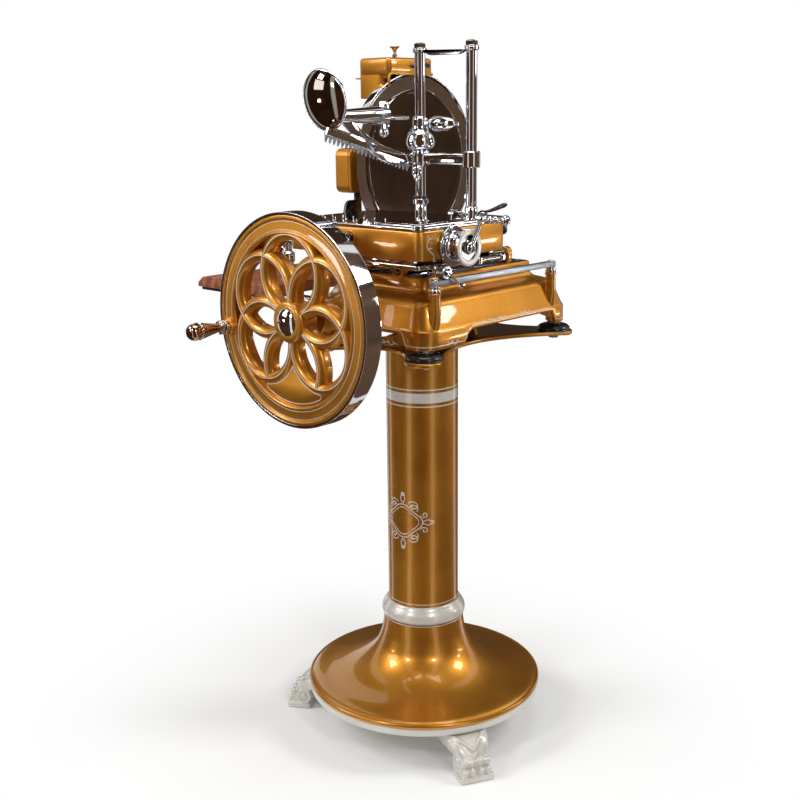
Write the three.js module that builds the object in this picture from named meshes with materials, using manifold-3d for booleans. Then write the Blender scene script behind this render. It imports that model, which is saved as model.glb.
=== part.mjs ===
// A hand-cranked flywheel meat slicer on its cast pedestal, in millimetres.
// +Z is up, +X is the operator's right hand and +Y points away from the operator.
// The working origin is the floor point under the column; the last lines shift
// the whole machine so that its origin is the middle of its footprint.
import * as THREE from 'three';
import { mergeVertices } from 'three/addons/utils/BufferGeometryUtils.js';
import Module from 'manifold-3d';

const wasm = await Module();
wasm.setup();

// Fits and cutters
const seatGap = 0.3;
const runningGap = 0.5;
const turningGap = 0.05;
const overrun = 4;
const weldDistance = 1e-4;

// Pedestal
const columnRadius = 69.85;
const columnWall = 5;
const footPlateBottom = 74;
const footPlateThickness = 8;
const footPlateRadius = 236;
const pawOverhang = 52;
const pawWidth = 62;
const pawTurn = 27.5;
const toeRadius = 13;
const pawBevel = 6;
const pawHeelInset = 61;
const bellTop = 212;
const bellWall = 10;
const collarTop = 265;
const collarBulge = 14;
const standTop = 803;
const standPlateThickness = 8;
const lobeRadius = 36;
const tieRodRadius = 10;
const tieNutHeight = 13;
const tieNutRadius = 17;

// Rubber feet and their studs
const rubberRadius = 31;
const studRadius = 6;
const studHeadRadius = 10;
const studHeadHeight = 7;
const studGrip = 26;

// Base casting
const baseLeft = -91;
const baseRight = 193;
const baseFront = -203;
const baseBack = 215;
const baseBottom = 821;
const baseCorner = 34;
const baseDraft = 15;
const baseWall = 8;
const shoulderHeight = 84;
const plinthInset = 52;
const plinthTop = 938;
const archHeight = 25;
const legLength = 108;
const rearLegLength = 46;
const legWidth = 48;
const footInset = 22;
const snoutLength = 84;
const snoutRadius = 30;
const snoutFlare = 46;
const snoutEdge = 3;
const bearingWebY = 98;
const bearingWebThickness = 16;
const bushRadius = 17;
const bushLength = 24;
const crossBushRadius = 16;

// Rails that the carriage runs on
const railX = 185;
const railTop = 940;
const railHeight = 10;
const railWidth = 14;
const railFront = -180;
const railBack = 168;
const pillarRadius = 9;
const pillarFront = -171;
const pillarBack = 160;
const railCollarHeight = 11;
const railCapHeight = 9;
const railCollarStep = 1;
const guideRodRadius = 7;
const guideRodZ = 949;
const guideRodSpacing = 90;
const guideRodX = -10;
const guideLugThickness = 14;

// Flywheel
const wheelX = 2;
const wheelZ = 872;
const wheelFront = -340;
const wheelRadius = 185.7;
const wheelDepth = 36;
const bandThickness = 5;
const rimWidth = 33;
const rimLip = 3;
const petalCount = 6;
const ribWidth = 11;
const ribDepth = 27;
const hubRadius = 30;
const hubCapRadius = 20.5;
const hubCapEdge = 1;
const mainShaftRadius = 12;
const gripAngle = 189;
const gripOrbit = 163;
const gripLength = 84;
const gripRadius = 14;
const gripStudRadius = 5;
const gripCollar = 8;
const gripTip = 1;

// Drive inside the base
const crownTeeth = 24;
const bevelPinionTeeth = 12;
const bevelModule = 3.6;
const bevelFace = 14;
const gearHubLength = 12;
const crossShaftRadius = 11;
const sprocketX = -195;
const chainPitch = 10.5;
const driveSprocketTeeth = 18;
const bladeSprocketTeeth = 12;
const sprocketThickness = 6;
const chainPlate = 1.6;

// Blade and its guard
const bladePlane = -150;
const bladeY = 154;
const bladeZ = 1114;
const bladeRadius = 172;
const bladeThickness = 6;
const coverInset = 25;
const coverRadius = bladeRadius - coverInset;
const coverThickness = 4;
const coverProud = 0.5;
const coverEdge = 1;
const coverCrown = 0.6;
const bladeLand = 0.4;
const guardClearance = 6;
const guardRadius = bladeRadius + guardClearance;
const guardDepth = 14;
const guardWall = 3;
const guardFlange = 20;
const guardProud = 1;
const guardPadRadius = 6;
const guardStart = -118;
const guardEnd = 150;
const bladeShaftRadius = 12;

// Chain case that carries the blade
const caseLeft = -216;
const caseRight = -174;
const caseWidth = 84;
const caseWall = 6;
const caseArmFront = -14;
const caseArmHeight = 86;
const caseFootHeight = 68;
const caseNeckDrop = 8;
const caseNeckTop = bladeZ + guardRadius - caseNeckDrop;

// Sharpener
const sharpenerLeft = -232;
const sharpenerRight = -146;
const sharpenerFront = 73;
const sharpenerBack = 205;
const sharpenerHeight = 78;
const sharpenerSkirt = 50;
const sharpenerLipThickness = 3;
const sharpenerKnobSeat = 1.5;
const sharpenerCorner = 10;
const sharpenerWall = 5;
const stoneRadius = 17;
const stoneThickness = 9;
const sharpenerKnobRadius = 10.5;
const sharpenerKnobRise = 21;
const sharpenerSpindleRadius = 5;
const sharpenerKnobShiftX = 4;
const sharpenerKnobShiftY = -9;

// Receiving board
const boardLeft = -391;
const boardRight = -172;
const boardFront = -230;
const boardBack = 100;
const boardTop = 905;
const boardThickness = 21;
const boardRailWidth = 22;
const boardRailThickness = 10;
const boardGroove = 6;
const boardRailInset = 50;
const slicePostInset = 64;
const slicePostRadius = 11;
const slicePostHeight = 74;
const slicePostCrown = 2;

// Carriage and the feed table on it
const carriageLeft = -64;
const carriageRight = 172;
const carriageFront = -199;
const carriageBack = 26;
const carriagePlateBottom = 957.5;
const carriagePlateThickness = 8.5;
const carriageSlideFront = -134;
const carriageSlideLength = 58;
const tableLeft = -146;
const tableRight = 180;
const tableFront = -203;
const tableBack = 30;
const tableBottom = 974;
const tableTop = 1024;
const tableCorner = 16;
const tableWall = 6;
const tablePlateThickness = 5;
const tablePlateProud = 2;
const frontKnobX = 17;
const frontKnobZ = 1005;
const frontKnobRadius = 9;
const fenceSink = 1;
const rearKnobInset = 15;
const rearKnobZ = 1008;
const rearKnobRadius = 9;
const rearKnobDepth = 13;
const fenceLeverX = 131;
const fenceLeverY = 22;
const fenceLeverLength = 56;
const fenceLeverRise = 20;
const fenceLeverRadius = 7.5;
const raisedLipHeight = 4.5;
const raisedLipStart = 72;
const spikeHeight = 8;
const spikeRadius = 1.6;
const spikeCount = 12;
const spikeRoot = 1;
const wayWidth = 16;
const rollerRadius = 12;
const rollerWidth = 17;
const rollerY = -150;
const rollerEdge = 1;
const rollerAxleRadius = 4;
const feedNutX = 58;
const releaseRadius = 7.5;

// Feed crank on the right of the table
const feedY = -122;
const feedZ = 994;
const feedScrewRadius = 7;
const feedThreadDepth = 1.6;
const feedPitch = 16;
const feedNutWidth = 26;
const feedFlangeRadius = 35;
const feedFlangeThickness = 6;
const feedDrumRadius = 25;
const feedDrumLength = 26;
const feedDiscRadius = 32;
const feedDiscThickness = 8;
const feedArmRise = 46;
const feedArmSweep = 26;
const feedGripLength = 52;
const feedArmThick = 5;
const feedStudRadius = 3;
const feedBezelDraft = 2;
const feedBezelDepth = 3;

// Press on its two posts
const postLeftX = 0;
const postSpacing = 122;
const postRadius = 10;
const postTop = 1320;
const postNeckRadius = 11.5;
const postCollarHeight = 10;
const yokeZ = 1133;
const yokeHeight = 24;
const yokeHubRadius = 16;
const combX = -20;
const combSlope = 15.8;
const combLength = 224;
const combToothCount = 22;
const combToothDepth = 11;
const combHeight = 15;
const combThickness = 2.6;
const bearerShift = 11;
const bearerWidth = 8;
const bearerDrop = 2;
const pressRibThickness = 5;
const guardArmZ = 1206;
const armShift = 8;
const armPlateY = -82;
const armScrewInset = 2;
const knuckleY = -203;
const knuckleZ = 1219;
const armPlateWidth = 22;
const armPlateHeight = 50;
const armPlateThickness = 9;
const armPlateCorner = 5;
const dishRadius = 54;
const dishDepth = 17;
const dishWall = 2;
const dishTilt = 9;

// How finely round shapes are faceted
const fineSides = 34;
const broadSides = 24;
const middleSides = 16;
const smallSides = 8;
const tinySides = 6;
const fullTurn = 2 * Math.PI;
const quarterTurn = Math.PI / 2;
const radians = THREE.MathUtils.degToRad;

// Finishes
const finish = (color, metalness, roughness) =>
  new THREE.MeshStandardMaterial({ color, metalness, roughness });
const goldPaint = finish('#c98c28', 0.6, 0.3);
const pearlPaint = finish('#e4e0d8', 0.3, 0.35);
const chrome = finish('#d8dade', 1, 0.08);
const bronzedChrome = finish('#a98a74', 1, 0.12);
const steel = finish('#9a9a9c', 1, 0.35);
const bronze = finish('#b08d57', 0.9, 0.4);
const castIron = finish('#4a4a4c', 0.6, 0.6);
const blackRubber = finish('#141414', 0, 0.7);
const blackPlastic = finish('#1b1a1a', 0, 0.4);
const redWood = finish('#8a4a26', 0, 0.5);
const stoneGrey = finish('#8d8a84', 0, 0.9);

// Solids: every piece is a closed manifold whose faces point outwards
function toManifold(geometry) {
  const bare = geometry.index ? geometry.toNonIndexed() : geometry.clone();
  bare.deleteAttribute('normal');
  bare.deleteAttribute('uv');
  const welded = mergeVertices(bare, weldDistance);
  const vertProperties = new Float32Array(welded.attributes.position.array);
  const triVerts = new Uint32Array(welded.index.array);
  if (signedVolume(vertProperties, triVerts) < 0) {
    for (let i = 0; i < triVerts.length; i += 3) {
      [triVerts[i], triVerts[i + 1]] = [triVerts[i + 1], triVerts[i]];
    }
  }
  return new wasm.Manifold(new wasm.Mesh({ numProp: 3, vertProperties, triVerts }));
}

function signedVolume(positions, triangles) {
  let sum = 0;
  const a = new THREE.Vector3();
  const b = new THREE.Vector3();
  const c = new THREE.Vector3();
  for (let i = 0; i < triangles.length; i += 3) {
    a.fromArray(positions, 3 * triangles[i]);
    b.fromArray(positions, 3 * triangles[i + 1]);
    c.fromArray(positions, 3 * triangles[i + 2]);
    sum += a.dot(b.cross(c));
  }
  return sum;
}

function toGeometry(manifold) {
  const mesh = manifold.getMesh();
  const geometry = new THREE.BufferGeometry();
  geometry.setAttribute('position', new THREE.BufferAttribute(mesh.vertProperties, 3));
  geometry.setIndex(new THREE.BufferAttribute(mesh.triVerts, 1));
  const flat = geometry.toNonIndexed();
  flat.computeVertexNormals();
  return flat;
}

const join = (...shapes) =>
  toGeometry(shapes.map(toManifold).reduce((whole, next) => whole.add(next)));
const cut = (shape, ...tools) =>
  toGeometry(tools.map(toManifold).reduce((whole, tool) => whole.subtract(tool), toManifold(shape)));
const common = (shape, other) => toGeometry(toManifold(shape).intersect(toManifold(other)));

// Placing
const at = (shape, x, y, z) => shape.clone().translate(x, y, z);
const alongX = (shape) => shape.clone().rotateY(quarterTurn);
const alongY = (shape) => shape.clone().rotateX(-quarterTurn);

// Basic bodies stand on the XY plane with their axis along +Z
function post(radius, height, sides = smallSides, topRadius = radius) {
  const shape = new THREE.CylinderGeometry(topRadius, radius, height, sides);
  return shape.rotateX(quarterTurn).translate(0, 0, height / 2);
}

function block(xMin, xMax, yMin, yMax, zMin, zMax) {
  const shape = new THREE.BoxGeometry(xMax - xMin, yMax - yMin, zMax - zMin);
  return shape.translate((xMin + xMax) / 2, (yMin + yMax) / 2, (zMin + zMax) / 2);
}

// A solid of revolution about Z from [radius, height] pairs
function turned(profile, sides = middleSides) {
  const points = profile.map(([radius, height]) => new THREE.Vector2(Math.max(radius, 0), height));
  return new THREE.LatheGeometry(points, sides).rotateX(quarterTurn);
}

// A ring about Z: the same, with the profile closed on itself
function ring(profile, sides = middleSides) {
  return turned([...profile, profile[0]], sides);
}

// Bore radius whose flats clear a shaft that turns inside it
function runningBore(shaftRadius, sides = smallSides) {
  return (shaftRadius + turningGap) / Math.cos(Math.PI / sides);
}

function sleeve(outer, inner, height, sides = smallSides) {
  return ring([[inner, 0], [outer, 0], [outer, height], [inner, height]], sides);
}

function ball(radius, sides = tinySides) {
  return new THREE.SphereGeometry(radius, sides, Math.ceil(sides / 2)).rotateX(quarterTurn);
}

function slab(outline, thickness, curveSegments = 2) {
  return new THREE.ExtrudeGeometry(outline, { depth: thickness, bevelEnabled: false, curveSegments });
}

function softSlab(outline, thickness, bevel, curveSegments = 2) {
  const shape = new THREE.ExtrudeGeometry(outline, {
    depth: thickness - 2 * bevel,
    bevelEnabled: true,
    bevelSize: bevel,
    bevelThickness: bevel,
    bevelOffset: -bevel,
    bevelSegments: 1,
    curveSegments,
  });
  return shape.translate(0, 0, bevel);
}

// An outline drawn in the YZ plane and grown along +X
function sideSlab(outline, thickness, curveSegments = 2) {
  return slab(outline, thickness, curveSegments).rotateZ(quarterTurn).rotateY(quarterTurn);
}

function roundedRectangle(xMin, xMax, yMin, yMax, radius) {
  const shape = new THREE.Shape();
  shape.moveTo(xMin + radius, yMin);
  shape.lineTo(xMax - radius, yMin);
  shape.absarc(xMax - radius, yMin + radius, radius, -quarterTurn, 0);
  shape.lineTo(xMax, yMax - radius);
  shape.absarc(xMax - radius, yMax - radius, radius, 0, quarterTurn);
  shape.lineTo(xMin + radius, yMax);
  shape.absarc(xMin + radius, yMax - radius, radius, quarterTurn, 2 * quarterTurn);
  shape.lineTo(xMin, yMin + radius);
  shape.absarc(xMin + radius, yMin + radius, radius, 2 * quarterTurn, 3 * quarterTurn);
  return shape;
}

function circle(radius, sides = smallSides) {
  const corners = [];
  for (let i = 0; i < sides; i += 1) {
    const angle = (fullTurn * i) / sides;
    corners.push(new THREE.Vector2(radius * Math.cos(angle), radius * Math.sin(angle)));
  }
  return new THREE.Shape(corners);
}

const hexagon = (radius) => circle(radius, 6);

// A loft through rings that all have the same number of points
function loft(rings) {
  const count = rings[0].length;
  const positions = rings.flat().flatMap((point) => [point.x, point.y, point.z]);
  const faces = [];
  for (let level = 0; level + 1 < rings.length; level += 1) {
    for (let i = 0; i < count; i += 1) {
      const here = level * count + i;
      const next = level * count + ((i + 1) % count);
      faces.push(here, next, next + count, here, next + count, here + count);
    }
  }
  const cap = THREE.ShapeUtils.triangulateShape(
    rings[0].map((point) => new THREE.Vector2(point.x, point.y)), []);
  const top = (rings.length - 1) * count;
  for (const [a, b, c] of cap) {
    faces.push(a, c, b, top + a, top + b, top + c);
  }
  const shape = new THREE.BufferGeometry();
  shape.setAttribute('position', new THREE.Float32BufferAttribute(positions, 3));
  shape.setIndex(faces);
  return shape;
}

// A rounded-rectangle section at one height, for the loft
function section(xMin, xMax, yMin, yMax, radius, height) {
  const steps = 2;
  const corners = [
    [xMax - radius, yMax - radius, 0],
    [xMin + radius, yMax - radius, 1],
    [xMin + radius, yMin + radius, 2],
    [xMax - radius, yMin + radius, 3],
  ];
  return corners.flatMap(([x, y, quarter]) =>
    Array.from({ length: steps + 1 }, (_, i) => {
      const angle = quarterTurn * (quarter + i / steps);
      return new THREE.Vector3(x + radius * Math.cos(angle), y + radius * Math.sin(angle), height);
    }));
}

// Mesh, body and tree helpers
const pieces = [];
function piece(name, shape, material) {
  const geometry = shape.index ? toGeometry(toManifold(shape)) : shape;
  const mesh = new THREE.Mesh(geometry, material);
  mesh.name = name;
  pieces.push(mesh);
  return mesh;
}

function assembly(...members) {
  const parent = new THREE.Group();
  parent.add(...members);
  return parent;
}

// Places that more than one sub-assembly uses
const bellBottom = footPlateBottom + footPlateThickness + seatGap;
const columnBottom = bellTop + seatGap;
const plateBottom = standTop - standPlateThickness;
const columnTopEnd = plateBottom - seatGap;
const footXs = [baseLeft + footInset + seatGap, baseRight - footInset];
const footYs = [baseFront + footInset, baseBack - footInset];
const footPlaces = footXs.flatMap((x) => footYs.map((y) => [x, y]));
const rubberTop = baseBottom - seatGap;
const shoulderZ = baseBottom + shoulderHeight;
const crownRadius = (crownTeeth * bevelModule) / 2;
const bevelPinionRadius = (bevelPinionTeeth * bevelModule) / 2;
const crownY = bladeY - bevelPinionRadius;
const pinionX = wheelX - crownRadius;
const driveSprocketRadius = (driveSprocketTeeth * chainPitch) / fullTurn;
const bladeSprocketRadius = (bladeSprocketTeeth * chainPitch) / fullTurn;
const carriageTop = carriagePlateBottom + carriagePlateThickness;
const railPadTop = railTop - railHeight - seatGap - railCollarHeight;
const guideRodXs = [guideRodX, guideRodX + guideRodSpacing];
const plinthFront = baseFront + plinthInset;
const plinthBack = baseBack - plinthInset;
const sprocketLeft = sprocketX - sprocketThickness / 2;
const plateTop = tableTop + seatGap + tablePlateThickness;
const postXs = [postLeftX, postLeftX + postSpacing];

// Pedestal

const pawReach = footPlateRadius + pawOverhang;

// One lion paw: a curved leg that ends in four toes on the floor
function paw() {
  const heel = footPlateRadius - pawHeelInset;
  const top = footPlateBottom - seatGap;
  const legShares = [0.1, 0.42, 0.78];
  const leg = new THREE.Shape();
  leg.moveTo(heel, top);
  leg.lineTo(footPlateRadius, top);
  leg.bezierCurveTo(
    pawReach - toeRadius, top * legShares[2],
    pawReach, top * legShares[1],
    pawReach - toeRadius, toeRadius);
  leg.lineTo(pawReach - toeRadius, 0);
  leg.lineTo(footPlateRadius - toeRadius, 0);
  leg.bezierCurveTo(
    footPlateRadius, top * legShares[1],
    heel, top * legShares[0],
    heel, top);
  const ankle = softSlab(leg, pawWidth - toeRadius, pawBevel, 3);
  const body = ankle.rotateX(quarterTurn).translate(0, (pawWidth - toeRadius) / 2, 0);
  const toeStep = pawWidth / 4;
  const toes = [-1.5, -0.5, 0.5, 1.5].map((place) => {
    const toe = ball(toeRadius, tinySides).scale(1.5, 0.72, 1.15);
    const middleLead = Math.abs(place) < 1 ? toeRadius / 4 : 0;
    return at(toe, pawReach - 1.5 * toeRadius + middleLead, place * toeStep, toeRadius);
  });
  const floor = block(0, 2 * pawReach, -pawReach, pawReach, -pawReach, 0);
  const shelf = block(0, 2 * pawReach, -pawReach, pawReach, top, top + pawReach);
  return cut(join(body, ...toes), floor, shelf);
}

const clawFeet = [0, 1, 2].map((i) =>
  piece(`claw_foot_${i + 1}`, paw().rotateZ(radians(120 * i - pawTurn)), pearlPaint));

function footPlateShape() {
  const bore = tieRodRadius + seatGap;
  const top = footPlateThickness;
  const edge = footPlateThickness / 4;
  return at(ring([
    [bore, 0], [footPlateRadius - edge, 0], [footPlateRadius, edge],
    [footPlateRadius, top - edge], [footPlateRadius - edge, top], [bore, top],
  ], broadSides), 0, 0, footPlateBottom);
}

function collarShape() {
  const bore = columnRadius + seatGap;
  const height = collarTop - bellTop + overrun;
  const bulge = Array.from({ length: 5 }, (_, i) => {
    const share = i / 4;
    return [bore + collarBulge * (0.3 + 0.7 * Math.sin(Math.PI * share)), height * (0.1 + 0.75 * share)];
  });
  return at(ring([
    [bore, 0], [bore + collarBulge / 3, 0], ...bulge,
    [bore + collarBulge / 5, height], [bore, height],
  ], broadSides), 0, 0, bellTop - overrun);
}

// The bell flares from the column's width to the disc in one sweep
function bellShape() {
  const bore = tieRodRadius + seatGap;
  const neck = columnRadius + collarBulge / 4;
  const rise = bellTop - bellBottom;
  const sweepShares = [
    [1, 0.13], [0.93, 0.165], [0.81, 0.2], [0.63, 0.28],
    [0.47, 0.41], [0.34, 0.58], [0.25, 0.8], [0.22, 1],
  ];
  const spread = (footPlateRadius - neck) / (1 - 0.22);
  const outer = sweepShares.map(([reach, height]) => [
    neck + (reach - 0.22) * spread, bellBottom + rise * height]);
  const rimTop = outer[0][1];
  const rim = footPlateRadius - bellWall / 3;
  const inner = outer.slice(1, -1).filter((_, i) => i % 2 === 0).map(([radius, height]) => [
    radius - bellWall, height - bellWall]).reverse();
  const bell = ring([
    [rim, bellBottom], [footPlateRadius, bellBottom + bellWall / 3],
    [footPlateRadius, rimTop - bellWall / 3], [rim, rimTop],
    ...outer.slice(1),
    [bore, bellTop], [bore, bellTop - bellWall],
    [neck - bellWall, bellTop - bellWall],
    ...inner,
    [footPlateRadius - 2 * bellWall, bellBottom],
  ], broadSides);
  return join(bell, collarShape());
}

function columnShape() {
  return at(sleeve(columnRadius, columnRadius - columnWall, columnTopEnd - columnBottom,
    broadSides), 0, 0, columnBottom);
}

function tieRodShape() {
  const top = standTop + seatGap + 1.2 * tieNutHeight;
  const head = footPlateBottom - seatGap - tieNutHeight;
  const nut = slab(hexagon(tieNutRadius), tieNutHeight);
  return join(
    at(post(tieRodRadius, top - head, smallSides), 0, 0, head),
    at(nut, 0, 0, head),
    at(nut, 0, 0, standTop + seatGap));
}

// The stand's top plate: a round lobe under each foot and drawn-in sides
function standPlateShape() {
  const [left, right] = footXs;
  const [front, back] = footYs;
  const r = lobeRadius;
  const midX = (left + right) / 2;
  const midY = (front + back) / 2;
  const waistShare = 0.55;
  const outline = new THREE.Shape();
  outline.absarc(right, front, r, -0.75 * Math.PI, 0, false);
  outline.quadraticCurveTo(midX + (right - midX) * (1 - 2 * waistShare), midY,
    right + r, back);
  outline.absarc(right, back, r, 0, 0.75 * Math.PI, false);
  outline.quadraticCurveTo(midX, midY + (back - midY) * (1 - waistShare / 2),
    left + r * Math.SQRT1_2, back + r * Math.SQRT1_2);
  outline.absarc(left, back, r, 0.25 * Math.PI, Math.PI, false);
  outline.quadraticCurveTo(midX - (midX - left) * (1 - 2 * waistShare), midY,
    left - r, front);
  outline.absarc(left, front, r, Math.PI, 1.75 * Math.PI, false);
  outline.quadraticCurveTo(midX, midY - (midY - front) * (1 - waistShare),
    right - r * Math.SQRT1_2, front - r * Math.SQRT1_2);
  const plate = slab(outline, standPlateThickness, 4);
  const bore = post(tieRodRadius + seatGap, standPlateThickness + 2 * overrun, smallSides);
  const studs = footPlaces.map(([x, y]) =>
    at(post(studRadius + seatGap, standPlateThickness + 2 * overrun, tinySides), x, y, -overrun));
  return at(cut(plate, at(bore, 0, 0, -overrun), ...studs), 0, 0, plateBottom);
}

// A rubber dome moulded round its stud, with the nut under the stand plate
function levellingFootShape() {
  const height = rubberTop - standTop - seatGap;
  const foot = at(turned([
    [0, 0], [rubberRadius * 0.95, 0], [rubberRadius, height * 0.3], [rubberRadius * 0.82, height * 0.75],
    [rubberRadius * 0.5, height], [0, height],
  ], smallSides), 0, 0, standTop + seatGap);
  const bottom = plateBottom - seatGap - studHeadHeight;
  const stud = at(post(studRadius, rubberTop + studGrip - 2 * overrun - bottom, tinySides), 0, 0, bottom);
  return join(foot, stud, at(slab(hexagon(studHeadRadius), studHeadHeight), 0, 0, bottom));
}

const levellingFeet = footPlaces.map(([x, y], i) =>
  piece(`levelling_foot_${i + 1}`, at(levellingFootShape(), x, y, 0), blackRubber));

// Base casting: a drafted tub on four legs, a coved shoulder and a plinth on top

const innerLevels = [0, 1, 2, 5, 7, 9];

function baseSections(wall, bottom, ceiling, keep = [0, 1, 2, 3, 4, 5, 6, 7, 8, 9]) {
  const w = wall;
  const d = baseDraft;
  const p = plinthInset;
  const levels = [
    [0, baseCorner, bottom],
    [0, baseCorner, baseBottom + d / 2],
    [d, baseCorner - d / 3, shoulderZ - d / 2],
    [d * 1.35, baseCorner - d / 2, shoulderZ],
    [d * 2, baseCorner - d / 2, shoulderZ + d / 3],
    [p * 0.8, baseCorner / 2, shoulderZ + d / 2.2],
    [p * 0.94, baseCorner / 2, shoulderZ + d * 0.7],
    [p, baseCorner / 2, shoulderZ + d * 1.2],
    [p, baseCorner / 2, ceiling - d / 6],
    [p + d / 6, baseCorner / 2 - d / 6, ceiling],
  ];
  return keep.map((level) => {
    const [inset, corner, z] = levels[level];
    const lift = level > 1 ? wall : 0;
    const height = level >= levels.length - 2 || level < 2 ? z : z - lift;
    return section(baseLeft + inset + w, baseRight - inset - w, baseFront + inset + w,
      baseBack - inset - w, Math.max(corner - w / 2, baseWall / 4), height);
  });
}

function baseShape() {
  const shell = loft(baseSections(0, baseBottom, plinthTop));
  const hollow = loft(baseSections(baseWall, baseBottom - overrun, plinthTop - baseWall,
    innerLevels));
  const inset = legWidth;
  const arch = (from, to, radius) => roundedRectangle(from, to,
    baseBottom - archHeight, baseBottom + archHeight, radius);
  const sideArch = at(sideSlab(arch(baseFront + legLength, baseBack - rearLegLength, archHeight / 2),
    2 * (baseRight - baseLeft)), 2 * baseLeft, 0, 0);
  const frontArch = slab(arch(baseLeft + inset, baseRight - inset, archHeight / 2),
    2 * (baseBack - baseFront)).rotateX(quarterTurn).translate(0, 2 * baseBack, 0);
  const legs = footPlaces.map(([x, y]) => at(post(legWidth / 3, studGrip + overrun, tinySides), x, y,
    baseBottom));
  const legPads = footPlaces.map(([x, y]) => block(
    Math.min(x, x < 0 ? baseLeft + baseWall : x), Math.max(x, x > 0 ? baseRight - baseWall : x),
    Math.min(y, y < 0 ? baseFront + baseWall : y), Math.max(y, y > 0 ? baseBack - baseWall : y),
    baseBottom, baseBottom + archHeight));
  const studs = footPlaces.map(([x, y]) => at(post(studRadius + seatGap, studGrip, tinySides),
    x, y, baseBottom - overrun));

  // Pillars for the outer rail, faired into the right wall by gussets
  const pillarTop = railPadTop;
  const wallTopX = baseRight - baseDraft;
  const pillars = [pillarFront, pillarBack].flatMap((y) => {
    const gusset = new THREE.Shape([
      new THREE.Vector2(wallTopX - baseWall, shoulderZ - shoulderHeight * 0.75),
      new THREE.Vector2(railX, shoulderZ - shoulderHeight * 0.7),
      new THREE.Vector2(railX, pillarTop - overrun),
      new THREE.Vector2(wallTopX - 2 * baseWall, shoulderZ - baseDraft),
    ]);
    const web = slab(gusset, 2 * pillarRadius * 0.8).rotateX(quarterTurn);
    return [
      at(post(pillarRadius, shoulderHeight * 0.65, smallSides), railX, y,
        pillarTop - shoulderHeight * 0.65),
      at(web, 0, y + pillarRadius * 0.8, 0),
    ];
  });

  // Snout for the front bearing, web for the rear one, both bored for the shaft
  const snout = alongY(turned([
    [0, 0], [snoutRadius - snoutEdge, 0], [snoutRadius, snoutEdge], [snoutRadius, snoutLength * 0.45],
    [snoutFlare, snoutLength], [snoutFlare, snoutLength + baseWall * 2], [0, snoutLength + baseWall * 2],
  ], smallSides));
  const snoutPlaced = at(snout, wheelX, baseFront - snoutLength + baseWall / 2, wheelZ);
  const web = block(wheelX - crownRadius, wheelX + crownRadius,
    bearingWebY - bearingWebThickness / 2, bearingWebY + bearingWebThickness / 2,
    wheelZ - snoutRadius, plinthTop - baseWall / 2);
  const shaftBore = at(alongY(post(bushRadius + seatGap, baseBack - baseFront, smallSides)),
    wheelX, baseFront - snoutLength - overrun, wheelZ);
  const crossBoss = at(alongX(post(snoutRadius * 0.8, 2 * baseWall, smallSides)),
    baseLeft + baseWall / 2, bladeY, wheelZ);
  const crossBore = at(alongX(post(crossBushRadius + seatGap, 6 * baseWall, smallSides)),
    baseLeft - 2 * baseWall, bladeY, wheelZ);

  // Lugs that hold the two guide rods at both ends of the plinth
  const lugs = guideRodXs.flatMap((x) => [plinthFront, plinthBack - guideLugThickness].map((y) =>
    block(x - 1.7 * guideRodRadius, x + 1.7 * guideRodRadius, y, y + guideLugThickness,
      plinthTop - baseWall / 2, guideRodZ + 1.2 * guideRodRadius - seatGap)));
  const rodBores = guideRodXs.map((x) => at(alongY(post(guideRodRadius + seatGap,
    plinthBack - plinthFront + 2 * overrun, smallSides)), x, plinthFront - overrun, guideRodZ));
  const railBolts = [pillarFront, pillarBack].map((y) =>
    at(post(pillarRadius / 2 + seatGap, shoulderHeight, smallSides), railX, y, pillarTop - baseDraft));

  const tub = cut(join(shell, snoutPlaced), hollow, sideArch, frontArch);
  const inside = common(join(...legs, ...legPads, web, crossBoss), loft(baseSections(baseWall / 2,
    baseBottom, plinthTop - baseWall / 2, innerLevels)));
  return cut(join(tub, inside, ...pillars, ...lugs), shaftBore, crossBore, ...rodBores, ...studs,
    ...railBolts);
}

// The outer wall of the tub leans inwards; this is its left face at a height
function leftWallX(height) {
  const rise = (height - baseBottom - baseDraft / 2) / (shoulderHeight - baseDraft);
  return baseLeft + baseDraft * THREE.MathUtils.clamp(rise, 0, 1);
}

// The rail is one piece with its collars and the cap screws that enter the pillars
function outerRailShape() {
  const bar = block(railX - railWidth / 2, railX + railWidth / 2, railFront, railBack, 0, railHeight);
  const boltRadius = pillarRadius / 2;
  const foot = -railHeight - railCollarHeight;
  const cap = turned([
    [0, foot - baseDraft / 2], [boltRadius, foot - baseDraft / 2], [boltRadius, foot],
    [pillarRadius + railCollarStep, foot], [pillarRadius + railCollarStep, -railHeight / 2],
    [pillarRadius - railCollarStep, -railHeight / 2], [pillarRadius - railCollarStep, railCapHeight / 2],
    [pillarRadius * 0.6, railCapHeight * 0.85], [0, railCapHeight],
  ], smallSides);
  const caps = [pillarFront, pillarBack].map((y) => at(cap, railX, y, railTop));
  return join(at(bar, 0, 0, railTop - railHeight), ...caps);
}

function guideRodShape(x) {
  return at(alongY(post(guideRodRadius, plinthBack - plinthFront, smallSides)), x, plinthFront, guideRodZ);
}

function mainBearingShape(y) {
  return at(alongY(sleeve(bushRadius, runningBore(mainShaftRadius), bushLength)), wheelX, y, wheelZ);
}

// Flywheel

function wheelRing(profile, sides = fineSides) {
  return at(alongY(ring(profile, sides)), wheelX, wheelFront, wheelZ);
}

// A plate drawn as seen from the front, grown away from the operator
function frontSlab(outline, thickness, curveSegments = 2) {
  return slab(outline, thickness, curveSegments).rotateX(quarterTurn).translate(0, thickness, 0);
}

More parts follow.
